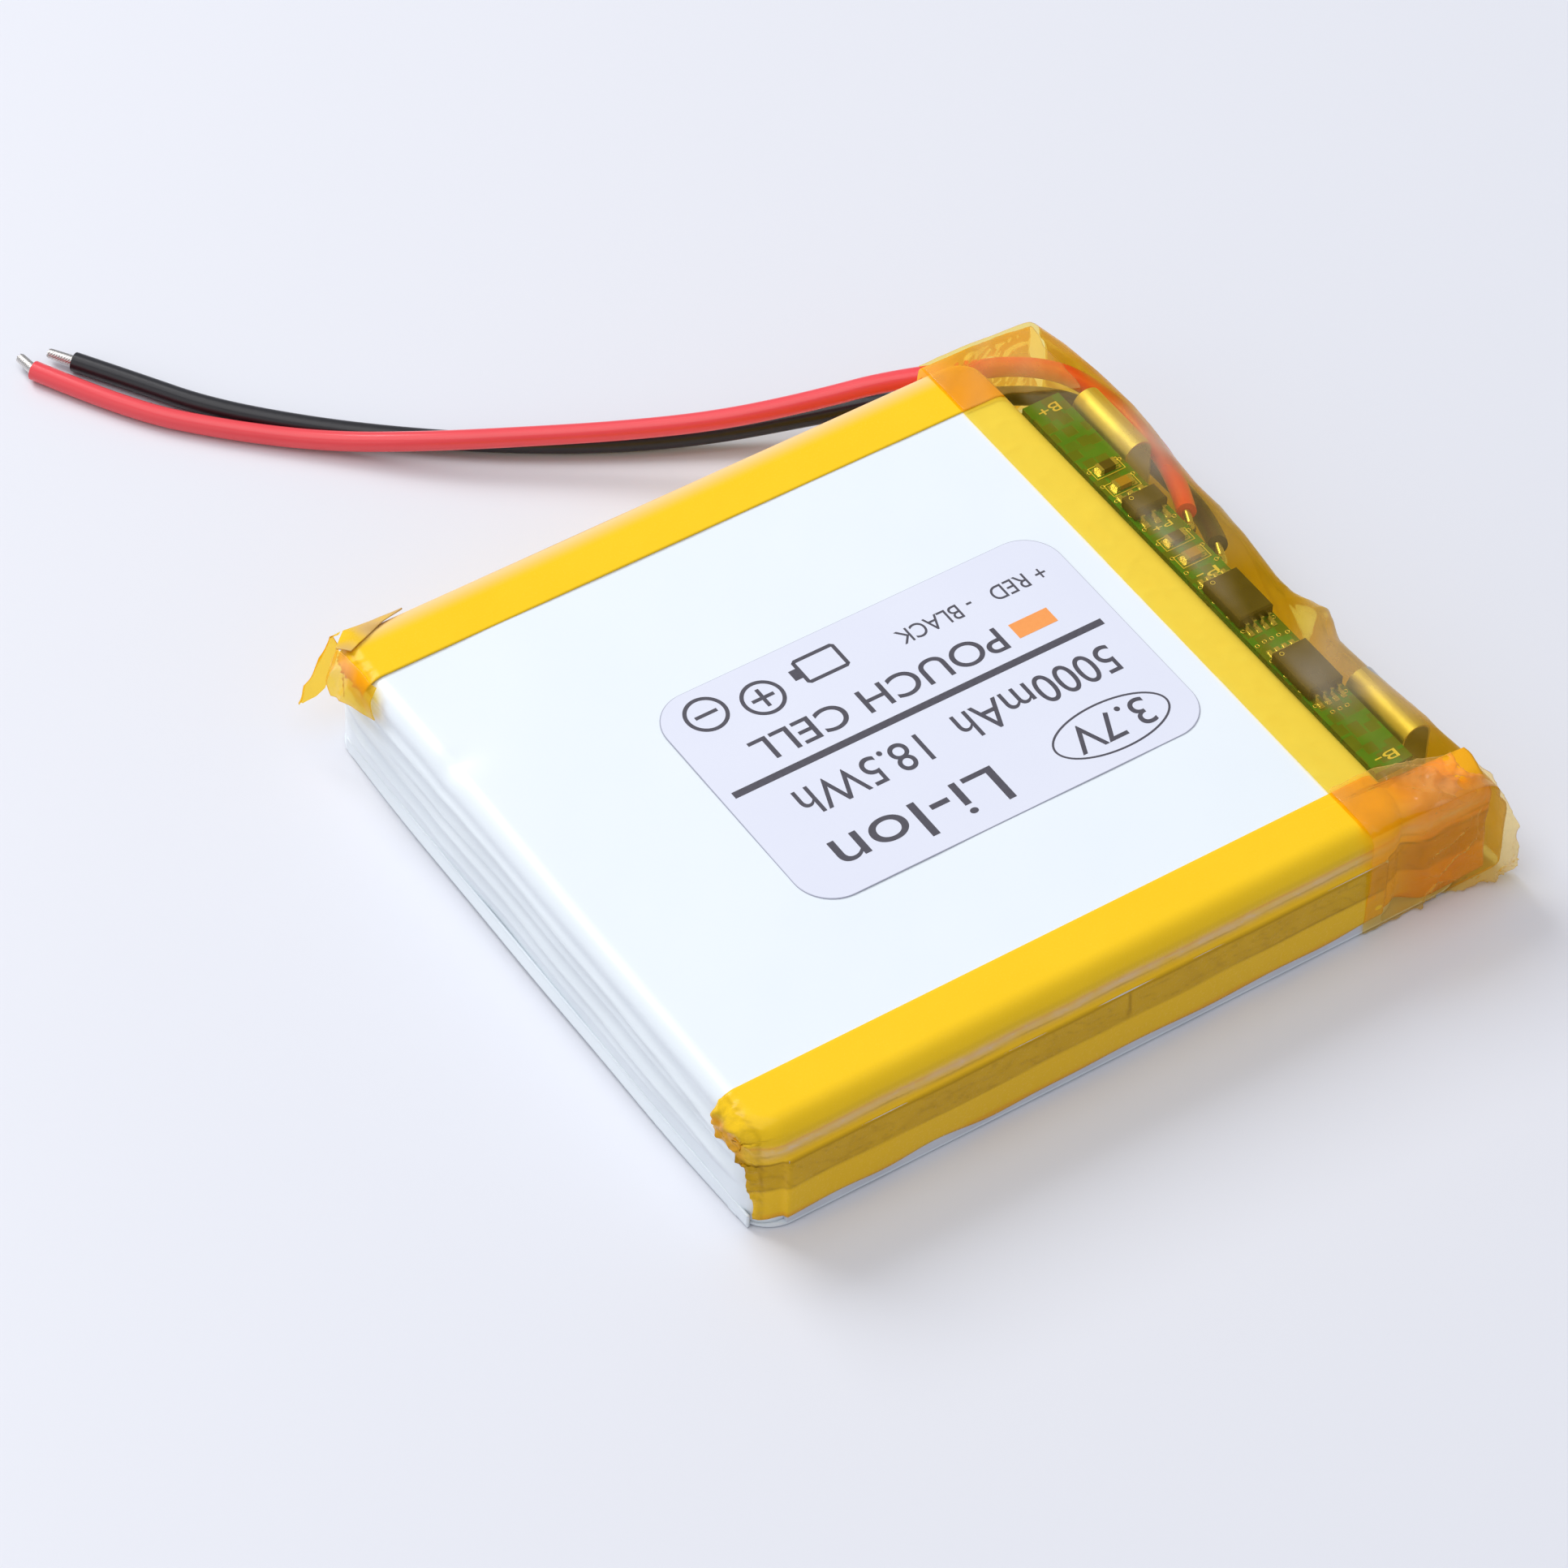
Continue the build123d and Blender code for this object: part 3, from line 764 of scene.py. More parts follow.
def join(name: str, parts: Sequence[Piece]) -> Piece:
    """Joins mesh objects that sit at the origin into one.

    Args:
        name: Name of the result.
        parts: The objects, of which the first stays.

    Returns:
        The joined object.
    """
    target = parts[0]
    with bpy.context.temp_override(active_object=target, object=target,
                                   selected_editable_objects=list(parts),
                                   selected_objects=list(parts)):
        bpy.ops.object.join()
    target.name = target.data.name = name
    return target


def keep(piece: Piece, slot: Slot, *nodes: str) -> Piece:
    """Rides a finished piece on the body, hides the CAD nodes it replaces and logs its slot.

    Args:
        piece: Finished piece.
        slot: Material slot that the log names for it.
        nodes: CAD nodes that it replaces.

    Returns:
        The piece.
    """
    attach(piece, BODY)
    if nodes:
        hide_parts(*nodes)
    LOG.info("%s (%s)", piece.name, slot.value)
    return piece


# ---- Camera, floor and light --------------------------------------------------------------
@dataclass(frozen=True)
class Studio:
    """Camera at the given view, a plain pale floor and soft light."""

    camera_place: Place = (253.2, -189.15, 346.41)
    right: Place = (0.55408, 0.83213, 0.02378)
    upward: Place = (-0.62330, 0.39576, 0.67444)
    backward: Place = (0.55180, -0.38851, 0.73795)
    lens: float = 152.8
    floor_size: float = 3.0
    sensor: float = 36.0
    near: float = 0.01
    world: Colour = (0.90, 0.93, 1.0)
    world_strength: float = 0.42

    # Name, place and side in metres, and power of each light.
    LAMPS: ClassVar[tuple[tuple[str, Place, float, float], ...]] = (
        ("key_light", (-0.76, -0.18, 0.69), 0.55, 6.7),
        ("top_light", (0.05, -0.15, 0.95), 0.8, 3.1),
        ("fill_light", (0.10, -0.85, 0.40), 0.7, 1.0))

    def set_camera(self) -> None:
        """Adds the camera."""
        data = bpy.data.cameras.new("camera")
        data.lens = self.lens
        data.sensor_width = self.sensor
        data.clip_start = self.near
        camera = link("camera", data)
        turn = Matrix((self.right, self.upward, self.backward)).transposed().to_4x4()
        camera.matrix_world = Matrix.Translation(Vector(self.camera_place) * MM) @ turn
        bpy.context.scene.camera = camera

    @staticmethod
    def lamp(name: str, place: Sequence[float], size: float, power: float) -> None:
        """Adds a square soft white light that points at the cell.

        Args:
            name: Name of the light.
            place: Its place in metres.
            size: Side in metres.
            power: Power in watts.
        """
        data = bpy.data.lights.new(name, "AREA")
        data.size = size
        data.energy = power
        light = link(name, data)
        light.location = place
        light.rotation_euler = Vector(place).to_track_quat("Z", "Y").to_euler()

    def build(self) -> None:
        """Adds the camera, the floor, the lights and the surrounding light."""
        self.set_camera()
        half = self.floor_size / MM / 2
        corners = np.array([(-half, -half, 0), (half, -half, 0), (half, half, 0),
                            (-half, half, 0)], float)
        floor = as_object("floor", corners, [(0, 1, 2, 3)], FLOOR)
        for lamp in self.LAMPS:
            self.lamp(*lamp)
        world = bpy.data.worlds.new("surroundings")
        world.use_nodes = True
        world.node_tree.nodes.clear()
        g = Graph(world.node_tree)
        sky = g.node("ShaderNodeBackground", {}, {"Color": (*self.world, 1.0),
                                                  "Strength": self.world_strength})
        g.node("ShaderNodeOutputWorld", {}, {"Surface": sky})
        bpy.context.scene.world = world
        bpy.context.scene.view_settings.view_transform = "Standard"


# ---- Leads --------------------------------------------------------------------------------
@dataclass(frozen=True)
class Lead:
    """One insulated lead: the run inside the film, the free run and its twisted end."""

    colour: str
    slot: Slot
    finish: Finish
    inner: Route
    free: Route
    length: float
    tip_heading: Place
    tip_length: float
    diameter: float = 1.5
    strands: int = 7
    strand_lay: float = 0.30
    strand_radius: float = 0.15
    tucked_in: float = 0.3

    def tube(self, name: str, route: Route) -> Piece:
        """Round tube along a NURBS line through a route.

        Args:
            name: Name of the piece.
            route: Control points in millimetres.

        Returns:
            The curve object.
        """
        data = bpy.data.curves.new(name, "CURVE")
        data.dimensions = "3D"
        data.bevel_depth = self.diameter / 2 * MM
        data.bevel_resolution = 6
        data.resolution_u = 16
        data.use_fill_caps = True
        spline = data.splines.new("NURBS")
        spline.points.add(len(route) - 1)
        for point, place in zip(spline.points, route):
            point.co = (*(Vector(place) * MM), 1.0)
        spline.order_u = 3
        spline.use_endpoint_u = True
        data.materials.append(self.finish.material())
        return link(name, data)

    def twisted_tip(self) -> Piece:
        """Bare strands twisted together, laid along the end of the lead by a node tree.

        Returns:
            The tip.
        """
        end, along = Vector(self.free[-1]), Vector(self.tip_heading).normalized()
        turn = along.to_track_quat("Z", "Y").to_euler()
        values = {"Strands": self.strands, "Lay radius": self.strand_lay * MM,
                  "Strand radius": self.strand_radius * MM,
                  "Length": (self.tip_length + self.tucked_in) * MM, "Turns": 1.6,
                  "Place": (end - along * self.tucked_in) * MM, "Turn": turn}
        piece = TwistTree().apply(f"{self.colour}_twisted_tip", values, TINNED)
        return keep(piece, Slot.TINNED, f"{self.colour}_lead_tip")

    def build(self) -> None:
        """Makes the tip and both runs."""
        tip = self.twisted_tip()
        free = self.tube(f"{self.colour}_free_run", self.free)
        keep(free, self.slot, f"{self.colour}_lead")
        held = self.tube(f"{self.colour}_held_path", self.inner)
        keep(plain_mesh(held, f"{self.colour}_held_run"), self.slot,
             f"{self.colour}_lead_inner")


RED = Lead("red", Slot.RED, RED_PVC,
           [(-6.3, 28.0, 8.1), (-9.2, 29.5, 7.5), (-13.6, 30.75, 7.1), (-20.2, 30.75, 7.0),
            (-24.9, 29.0, 7.0), (-26.7, 26.12, 6.82)],
           [(-26.7, 26.12, 6.82), (-30.0, 19.8, 6.445), (-32.6, 12.9, 5.2),
            (-35.3, 6.7, 4.3), (-39.0, 0.8, 3.3), (-42.8, -5.0, 2.6), (-46.6, -11.0, 2.1),
            (-51.5, -16.8, 1.0), (-57.0, -22.6, 0.8), (-62.5, -27.4, 0.8),
            (-69.8, -31.2, 0.8)], 73.5, (-0.99, -0.12, 0.0), 1.7)
BLACK = Lead("black", Slot.BLACK, BLACK_PVC,
             [(-2.5, 28.0, 8.0), (-5.8, 29.7, 6.6), (-10.8, 30.75, 5.4), (-20.4, 30.75, 4.8),
              (-24.9, 29.0, 4.1), (-26.7, 26.12, 3.8)],
             [(-26.7, 26.12, 3.8), (-30.7, 20.3, 3.4), (-34.1, 13.6, 2.0),
              (-37.0, 7.4, 1.1), (-40.3, 1.0, 0.8), (-44.2, -5.2, 0.8), (-48.6, -11.1, 0.8),
              (-53.6, -16.8, 0.8), (-59.4, -22.2, 0.8), (-64.6, -25.4, 0.8),
              (-69.0, -28.2, 0.8)], 70.5, (-0.84, -0.53, 0.0), 2.1)


# ---- Geometry node trees ------------------------------------------------------------------
class PieceTree:
    """A geometry node tree with named inputs that makes one piece."""

    title: ClassVar[str] = "piece"
    inputs: ClassVar[dict[str, object]] = {}
    KINDS: ClassVar[dict[type, str]] = {int: "NodeSocketInt", float: "NodeSocketFloat",
                                        Vector: "NodeSocketVector"}

    def __init__(self) -> None:
        """Makes the tree and its sockets."""
        self.tree = bpy.data.node_groups.new(self.title, "GeometryNodeTree")
        sockets = self.tree.interface
        sockets.new_socket("Geometry", in_out="INPUT", socket_type="NodeSocketGeometry")
        for name, default in self.inputs.items():
            made = sockets.new_socket(name, in_out="INPUT",
                                      socket_type=self.KINDS[type(default)])
            made.default_value = default
        sockets.new_socket("Material", in_out="INPUT", socket_type="NodeSocketMaterial")
        sockets.new_socket("Geometry", in_out="OUTPUT", socket_type="NodeSocketGeometry")
        self.graph = Graph(self.tree)
        self.entry = self.tree.nodes.new("NodeGroupInput")
        whole = self.graph.node("GeometryNodeRealizeInstances", {}, {0: self.shape()})
        dressed = self.graph.node("GeometryNodeSetMaterial", {},
                                  {"Geometry": whole, "Material": self.given("Material")})
        self.graph.node("NodeGroupOutput", {}, {0: dressed})

    def given(self, name: str) -> Sock:
        """One of the tree's inputs."""
        return Sock(self.graph, self.entry.outputs[name])

    def shape(self) -> Sock:
        """Builds the repeated shape."""
        raise NotImplementedError

    def apply(self, name: str, values: dict, finish: Finish,
              points: np.ndarray | None = None) -> Piece:
        """Runs the tree on a mesh and keeps the result as a plain mesh.

        Args:
            name: Name of the piece.
            values: Values of the inputs by name.
            finish: Finish of the piece.
            points: Places that the tree repeats its shape at, in millimetres.

        Returns:
            The mesh object.
        """
        mesh = bpy.data.meshes.new(name)
        mesh.from_pydata([] if points is None else (points * MM).tolist(), [], [])
        made = link(f"{name}_source", mesh)
        modifier = made.modifiers.new("tree", "NODES")
        modifier.node_group = self.tree
        known = {item.name: item.identifier for item in self.tree.interface.items_tree
                 if item.in_out == "INPUT"}
        for key, value in values.items():
            modifier[known[key]] = value
        modifier[known["Material"]] = finish.material()
        result = plain_mesh(made, name)
        result.data.shade_smooth()
        return result


class TwistTree(PieceTree):
    """Strands twisted round a common axis."""

    title = "twisted strands"
    inputs = {"Strands": 7, "Lay radius": 0.0003, "Strand radius": 0.00015, "Length": 0.004,
              "Turns": 1.6, "Place": Vector(), "Turn": Vector()}

    def shape(self) -> Sock:
        """One helical strand, repeated round the axis and laid in place.

        Returns:
            The bunch of strands.
        """
        g = self.graph
        helix = g.node("GeometryNodeCurveSpiral", {},
                       {"Resolution": 40, "Rotations": self.given("Turns"),
                        "Start Radius": self.given("Lay radius"),
                        "End Radius": self.given("Lay radius") * 0.8,
                        "Height": self.given("Length")})
        section = g.node("GeometryNodeCurvePrimitiveCircle", {},
                         {"Resolution": 10, "Radius": self.given("Strand radius")})
        strand = g.node("GeometryNodeCurveToMesh", {},
                        {"Curve": helix, "Profile Curve": section, "Fill Caps": True})
        stems = g.node("GeometryNodeMeshLine", {},
                       {"Count": self.given("Strands"), "Offset": (0.0, 0.0, 0.0)})
        angle = g.node("GeometryNodeInputIndex") * (2 * math.pi / self.inputs["Strands"])
        turned = g.node("ShaderNodeCombineXYZ", {}, {"Z": angle})
        bunch = g.node("GeometryNodeInstanceOnPoints", {},
                       {"Points": stems, "Instance": strand, "Rotation": turned})
        return g.node("GeometryNodeTransform", {},
                      {"Geometry": bunch, "Translation": self.given("Place"),
                       "Rotation": self.given("Turn")})


class OutlineTree(PieceTree):
    """An outline of round line, one at each point."""

    def outline(self) -> Sock:
        """The outline's curve."""
        raise NotImplementedError

    def shape(self) -> Sock:
        """The outline as a line of even thickness, repeated at the points.

        Returns:
            The repeated lines.
        """
        g = self.graph
        section = g.node("GeometryNodeCurvePrimitiveCircle", {},
                         {"Resolution": 6, "Radius": self.given("Line")})
        line = g.node("GeometryNodeCurveToMesh", {},
                      {"Curve": self.outline(), "Profile Curve": section})
        return g.node("GeometryNodeInstanceOnPoints", {},
                      {"Points": self.given("Geometry"), "Instance": line})


class FrameTree(OutlineTree):
    """Printed frames."""

    title = "printed frames"
    inputs = {"Width": 0.001, "Height": 0.002, "Line": 0.0001}

    def outline(self) -> Sock:
        """A rectangle."""
        return self.graph.node("GeometryNodeCurvePrimitiveQuadrilateral", {},
                               {"Width": self.given("Width"), "Height": self.given("Height")})


class ViaTree(OutlineTree):
    """Small rings."""

    title = "plated holes"
    inputs = {"Ring": 0.0002, "Line": 0.00007}

    def outline(self) -> Sock:
        """A circle."""
        return self.graph.node("GeometryNodeCurvePrimitiveCircle", {},
                               {"Resolution": 16, "Radius": self.given("Ring")})


# ---- Pouch --------------------------------------------------------------------------------
@dataclass(frozen=True)
class Pouch:
    """White laminate skin of the cell, with its creased end and folded lip."""

    form: CellForm
    wall: float = 0.2
    around: int = 520
    ridge: float = 0.42
    bulge: float = 0.12
    half_bow: float = 26.2
    lip_start: float = -25.2
    lip_reach: float = 0.5

    # Each crease of the folded end: height of the fold, its level, width and slope across.
    CREASES: ClassVar[tuple[tuple[float, float, float, float], ...]] = (
        (1.0, 7.3, 0.42, 1.5), (0.8, 5.8, 0.40, -1.0), (1.2, 4.3, 0.45, 2.0),
        (0.9, 2.7, 0.45, -1.5))

    def outline(self) -> np.ndarray:
        """Rounded plan outline of the cup, from its middle front round to the start.

        Returns:
            Points X, Y.
        """
        low, high = node_box("pouch_cup")
        angle = np.linspace(0, 2 * math.pi, 4000, endpoint=False)
        reach = np.array([high[0] - self.form.corner,
                          (high[1] - low[1]) / 2 - self.form.corner])
        heading = np.stack([np.cos(angle), np.sin(angle)], 1)
        share = reach / np.maximum(np.abs(heading), 1e-9)
        core = heading * share.min(axis=1, keepdims=True)
        square = np.concatenate([core, np.zeros((len(core), 1))], 1)
        middle = (low[1] + high[1]) / 2
        square[:, 1] += middle
        square[:, :2] += heading * self.form.corner
        square[:, 2] = high[2] - 2.0
        line = self.form.press(square, 0.0)[:, :2]
        closed = np.vstack([line, line[:1]])
        run = run_along(closed)
        return points_at(np.linspace(0, run[-1], self.around, endpoint=False), run, closed)

    def skin_points(self) -> np.ndarray:
        """Grid over the walls, the rounded rim and the flat face.

        Returns:
            Grid of points, from the foot of the walls to the middle of the face.
        """
        low, high = node_box("pouch_cup")
        middle = np.array([0.0, (low[1] + high[1]) / 2])
        plan = self.outline()
        edge = self.form.edge
        levels = np.linspace(low[2], high[2] - edge, 30, endpoint=False)
        rows = [np.column_stack([plan, np.full(len(plan), z)]) for z in levels]
        inward = middle - plan
        inward /= np.abs(inward).max(axis=1, keepdims=True)
        for angle in np.linspace(0, math.pi / 2, 12):
            inset = plan + inward * edge * (1 - math.cos(angle))
            level = high[2] - edge + edge * math.sin(angle)
            rows.append(np.column_stack([inset, np.full(len(plan), level)]))
        rim = rows[-1]
        for share in np.linspace(0, 1, 40)[1:]:
            shrunk = middle + (rim[:, :2] - middle) * (1 - share * 0.999)
            rows.append(np.column_stack([shrunk, np.full(len(plan), high[2])]))
        return np.array(rows)

    def bow(self, x: np.ndarray) -> np.ndarray:
        """Share of the outward bow at one place across the end, 1 in the middle."""
        return np.clip(1 - (np.abs(x) / self.half_bow) ** 2.6, 0, 1)

    def skin(self) -> Piece:
        """Drawn cup with creases across its folded end and a barely uneven flat face.

        Returns:
            The piece.
        """
        low, high = node_box("pouch_cup")
        grid = self.skin_points()
        x, y, z = grid[..., 0], grid[..., 1], grid[..., 2]
        end = ease(y, low[1] + 0.6, low[1] + 0.05) * ease(z, 9.2, 8.0)
        drift = Relief(38.0, 4).at(grid * [1, 1, 0]) * 0.14
        fade = ease(np.abs(x), 26.0, 22.0) * 0.75 + 0.25
        height = 5.0 + (z - 5.0) / (1 - 0.45 * (np.abs(x) / 27.5) ** 3)
        fold = sum(weight * bell(height + drift * 0.8 + slope * x * 0.01, level, width)
                   for weight, level, width, slope in self.CREASES)
        dents = Relief(16.0, 8).at(grid) * 0.05 + Relief(5.0, 9).at(grid) * 0.015
        bulge = self.bulge * self.bow(x) * ease(z, 7.0, 1.2)
        grid[..., 1] -= end * (fold * fade * self.ridge + dents - 0.2 + bulge)
        face = ease(z, high[2] - 0.3, high[2])
        soft = Relief(17.0, 5).at(grid) * 0.018 + Relief(6.0, 6).at(grid) * 0.004
        rim_dent = bell(x, -12.0, 1.2) * bell(y, low[1] + 1.0, 1.4) * 0.25
        grid[..., 2] += face * (soft - 0.02) - rim_dent
        return shell("pouch_skin", grid, self.wall, LAMINATE, closed=True)

    def lip(self) -> Piece:
        """Folded laminate at the foot of the end wall, flared most in its middle.

        Returns:
            The piece.
        """
        low, _ = node_box("pouch_cup")
        across = np.linspace(self.lip_start, self.half_bow, 260)
        bow = self.bow(across)
        wave = Relief(16.0, 12).at(np.column_stack([across, across * 0, across * 0]))
        rows = []
        for share in np.linspace(0, 1, 22):
            out = (self.lip_reach * (0.85 + 0.10 * wave) * share ** 1.3 + self.bulge) * bow
            level = 1.1 * (1 - share) ** 0.8 + 0.12 + 0.35 * share * bow
            rows.append(np.column_stack([across, low[1] + 0.1 - out,
                                         np.broadcast_to(level, across.shape)]))
        return shell("folded_lip", np.array(rows), 0.22, LAMINATE)

    def build(self) -> None:
        """Makes the skin and the lip."""
        keep(self.skin(), Slot.LAMINATE, "pouch_cup")
        keep(self.lip(), Slot.LAMINATE, "bottom_fold")


# ---- Side tapes ---------------------------------------------------------------------------
@dataclass(frozen=True)
class SideTape:
    """Golden tape folded from the flat face down one long wall and round the folded end."""

    form: CellForm
    side: Side
    inner_edge: float
    foot: float = 1.0
    board_end: float = 22.9
    tongue_end: float = 29.6
    seal_top: float = 6.55
    seal_foot: float = 3.85
    overlap_y: float = -1.0
    thickness: float = 0.06
    rows: int = 70
    columns: int = 300
    seed: int = 30

    def profile(self) -> tuple[np.ndarray, np.ndarray, np.ndarray]:
        """Section across the wall.

        Returns:
            Points (X outward, Z), outward normals, and the distance from the inner edge.
        """
        low, high = node_box("pouch_cup")
        edge, half, top = self.form.edge, high[0], high[2]
        corners = [(self.inner_edge, top), (half - edge, top)]
        corners += [(half - edge + edge * math.sin(a), top - edge + edge * math.cos(a))
                    for a in np.linspace(0.1, math.pi / 2, 9)]
        corners += [(half, 7.4), (half + 0.4, 6.5), (half + 0.4, self.foot)]
        points = rounded(corners, self.rows, 1)
        slope = np.gradient(points, axis=0)
        normal = np.column_stack([-slope[:, 1], slope[:, 0]])
        normal *= np.sign((normal * (points - [20, 3])).sum(axis=1))[:, None]
        normal /= np.linalg.norm(normal, axis=1, keepdims=True)
        return points, normal, run_along(points)

    def grid(self) -> tuple[np.ndarray, np.ndarray, np.ndarray]:
        """Tape surface laid along the cell and bent round the folded end.

        Returns:
            Points, the distance past the folded end's corner, and the distance across.
        """
        low, high = node_box("pouch_cup")
        section, normal, run = self.profile()
        x, z = section[:, 0], section[:, 1]
        corner_y = low[1] + self.form.corner
        on_top = ease(z, 8.6, 9.6)
        ragged = Relief(3.6, 21 + self.side.value).at(
            np.column_stack([x * 0, run, run * 0])) * 0.20
        past = np.where(on_top > 0.5, 4.1 + 0.9 * ease(x, 24.8, 22.6), 3.3) + ragged
        past -= ease(z, 6.0, 1.5) * 1.0
        if self.side is Side.BACK:
            past = np.minimum(past, 3.2) - ease(z, 9.2, 8.0) * 1.2
        tongue = self.board_end if self.side is Side.BACK else self.tongue_end
        end = np.interp(x, [23.3, 23.7], [self.board_end, tongue]) + ragged * 0.6
        share = np.linspace(0, 1, self.columns)[None, :]
        along = (corner_y - past)[:, None] * (1 - share) + end[:, None] * share
        beyond = np.maximum(corner_y - along, 0)
        straight = (self.form.corner - self.form.edge) * on_top[:, None]
        radius = (self.form.corner * (1 - on_top) + self.form.edge * on_top)[:, None]
        turn = np.clip((beyond - straight) / radius, 0, math.pi / 2)
        rest = np.maximum(beyond - straight - radius * math.pi / 2, 0)
        back = np.minimum(beyond, straight) + radius * np.sin(turn)
        drop = radius * (1 - np.cos(turn)) + rest
        points = np.empty((self.rows, self.columns, 3))
        points[..., 0] = x[:, None] - normal[:, :1] * drop
        points[..., 1] = np.maximum(along, corner_y) - back
        points[..., 2] = z[:, None] - normal[:, 1:] * drop
        return points, beyond, np.broadcast_to(run[:, None], beyond.shape)

    def relief(self, wavelength: float, number: int) -> Relief:
        """One of this side's own reliefs."""
        return Relief(wavelength, self.seed + self.side.value + number)

    def lay(self, points: np.ndarray, across: np.ndarray, crumple: np.ndarray,
            free: np.ndarray) -> np.ndarray:
        """Presses the tape on to the body, with bubbles, creases and a wavy foot.

        Args:
            points: Surface of the tape.
            across: Distance from its inner edge.
            crumple: How far it is crumpled, 0..1.
            free: How far it is off the body, past the board end, 0..1.

        Returns:
            The surface as it is stuck down.
        """
        z = points[..., 2]
        bubbles = self.relief(0.9, 0).creases(points, 3.0) * bell(z, 7.6, 0.7)
        marks = self.relief(1.3, 1).creases(points, 6.0) * bell(z, 5.4, 1.4)
        soft = self.relief(6.0, 2).at(points)
        lift = (0.06 + 0.03 * (soft + 1.5) * ease(z, 9.5, 8.0) + 0.05 * bubbles + 0.04 * marks
                + crumple * (0.16 + 0.3 * self.relief(1.5, 3).creases(points)))
        loose = points + self.relief(4.0, 4).at(points)[..., None] * [0.06, 0, 0.04]
        loose[..., 2] -= 0.25 * free
        held = self.form.press(points, lift) * (1 - free[..., None]) + loose * free[..., None]
        foot = ease(across, across.max() - 1.6, across.max())
        held[..., 2] += foot * 0.12 * self.relief(7.0, 5).at(points * [0, 1, 0])
        return held

    def shading(self, held: np.ndarray, beyond: np.ndarray, crumple: np.ndarray,
                free: np.ndarray) -> dict[str, np.ndarray]:
        """Paints of the shadows over the seal below, pale trapped air with painted highlights,
        and the folds.

        Args:
            held: The surface as it is stuck down.
            beyond: Distance past the folded end's corner.
            crumple: How far it is crumpled, 0..1.
            free: How far it is off the body, 0..1.

        Returns:
            Painted values by name.
        """
        outer, along, z = held[..., 0], held[..., 1], held[..., 2]
        smooth = 1 - crumple
        blotch = 0.5 + 0.5 * self.relief(2.4, 6).at(held)
        fine = self.relief(1.1, 9).creases(held * [1, 0.45, 1], 5.0)
        drift = 0.16 * self.relief(14.0, 8).at(held * [0, 1, 0])
        wall = ease(z, 8.9, 8.2)
        above_foot = ease(z, self.seal_foot - 0.15, self.seal_foot + 0.15)
        below_top = ease(z, self.seal_top + 0.05, self.seal_top - 0.25)
        # Painted shade: at the rounded edge, along the seal's top and foot, over the seal's band,
        # at the tape joint, by the end fold and in crumples.
        shadow = (bell(z, 8.7, 0.2) * 0.15 + bell(z, self.seal_top, 0.10) * 0.95 * wall
                  + wall * above_foot * below_top * (0.42 + 0.05 * blotch + 0.22 * fine)
                  + wall * bell(z + drift, 7.25, 0.07) * 0.4
                  + bell(z + drift * 0.5, self.seal_foot, 0.07) * 0.4
                  + wall * bell(along, self.overlap_y, 0.13) * ease(z, 4.0, 4.4) * below_top * 0.5
                  + bell(beyond, 1.9, 0.12) * 0.35
                  + crumple * 0.25 * self.relief(1.5, 7).creases(held, 4.0))
        # Pale band above the seal: trapped air with a painted highlight where the wall is lit.
        haze_and_highlight = wall * bell(z, 7.75, 0.5) * (0.30 + 0.2 * blotch + 0.3 * fine) * smooth
        folded = (ease(z, 1.5, 1.1) * 0.6 * smooth + ease(beyond, 2.6, 3.4) * wall * 0.6
                  + bell(z + drift, 8.05, 0.11) * wall * 0.6 + free * 0.85
                  + wall * ease(z, 8.6, 8.2) * 0.14)
        # Back: painted shade in a line along the ridge and in the corner pocket, and a painted
        # highlight on the rounded edge.
        if self.side is Side.BACK:
            line = bell(outer + 0.012 * (along + 20), 26.75, 0.10) * ease(along, -4.0, -14.0)
            pocket = ease(outer, 25.9, 26.6) * bell(along, -28.6, 1.6)
            shadow = shadow * 0.5 + ease(z, 8.2, 9.0) * (line * 0.8 + pocket * 0.6)
            haze_and_highlight = haze_and_highlight + ease(outer, 24.7, 26.3) * ease(z, 8.6, 9.4) * 0.55 * smooth
            folded = folded + ease(outer, 26.8, 27.1) * ease(z, 7.6, 8.4) * 0.7
        paints = {"shadow": shadow, "haze_and_highlight": haze_and_highlight, "folded": folded, "crumple": crumple}
        return {key: np.clip(value, 0, 1) for key, value in paints.items()}

    def build(self) -> None:
        """Makes the tape with its creases, bubbles and painted shading."""
        points, beyond, across = self.grid()
        crumple = ease(beyond, 0.8, 3.2)
        free = ease(points[..., 1], 23.0, 24.5)
        held = self.lay(points, across, crumple, free)
        paints = self.shading(held, beyond, crumple, free)
        held[..., 0] *= self.side.value
        name = self.side.name.lower()
        piece = shell(f"side_tape_{name}_skin", held, self.thickness, TAPE, paints)
        keep(piece, Slot.TAPE, f"side_tape_{name}", f"tape_end_{name}")


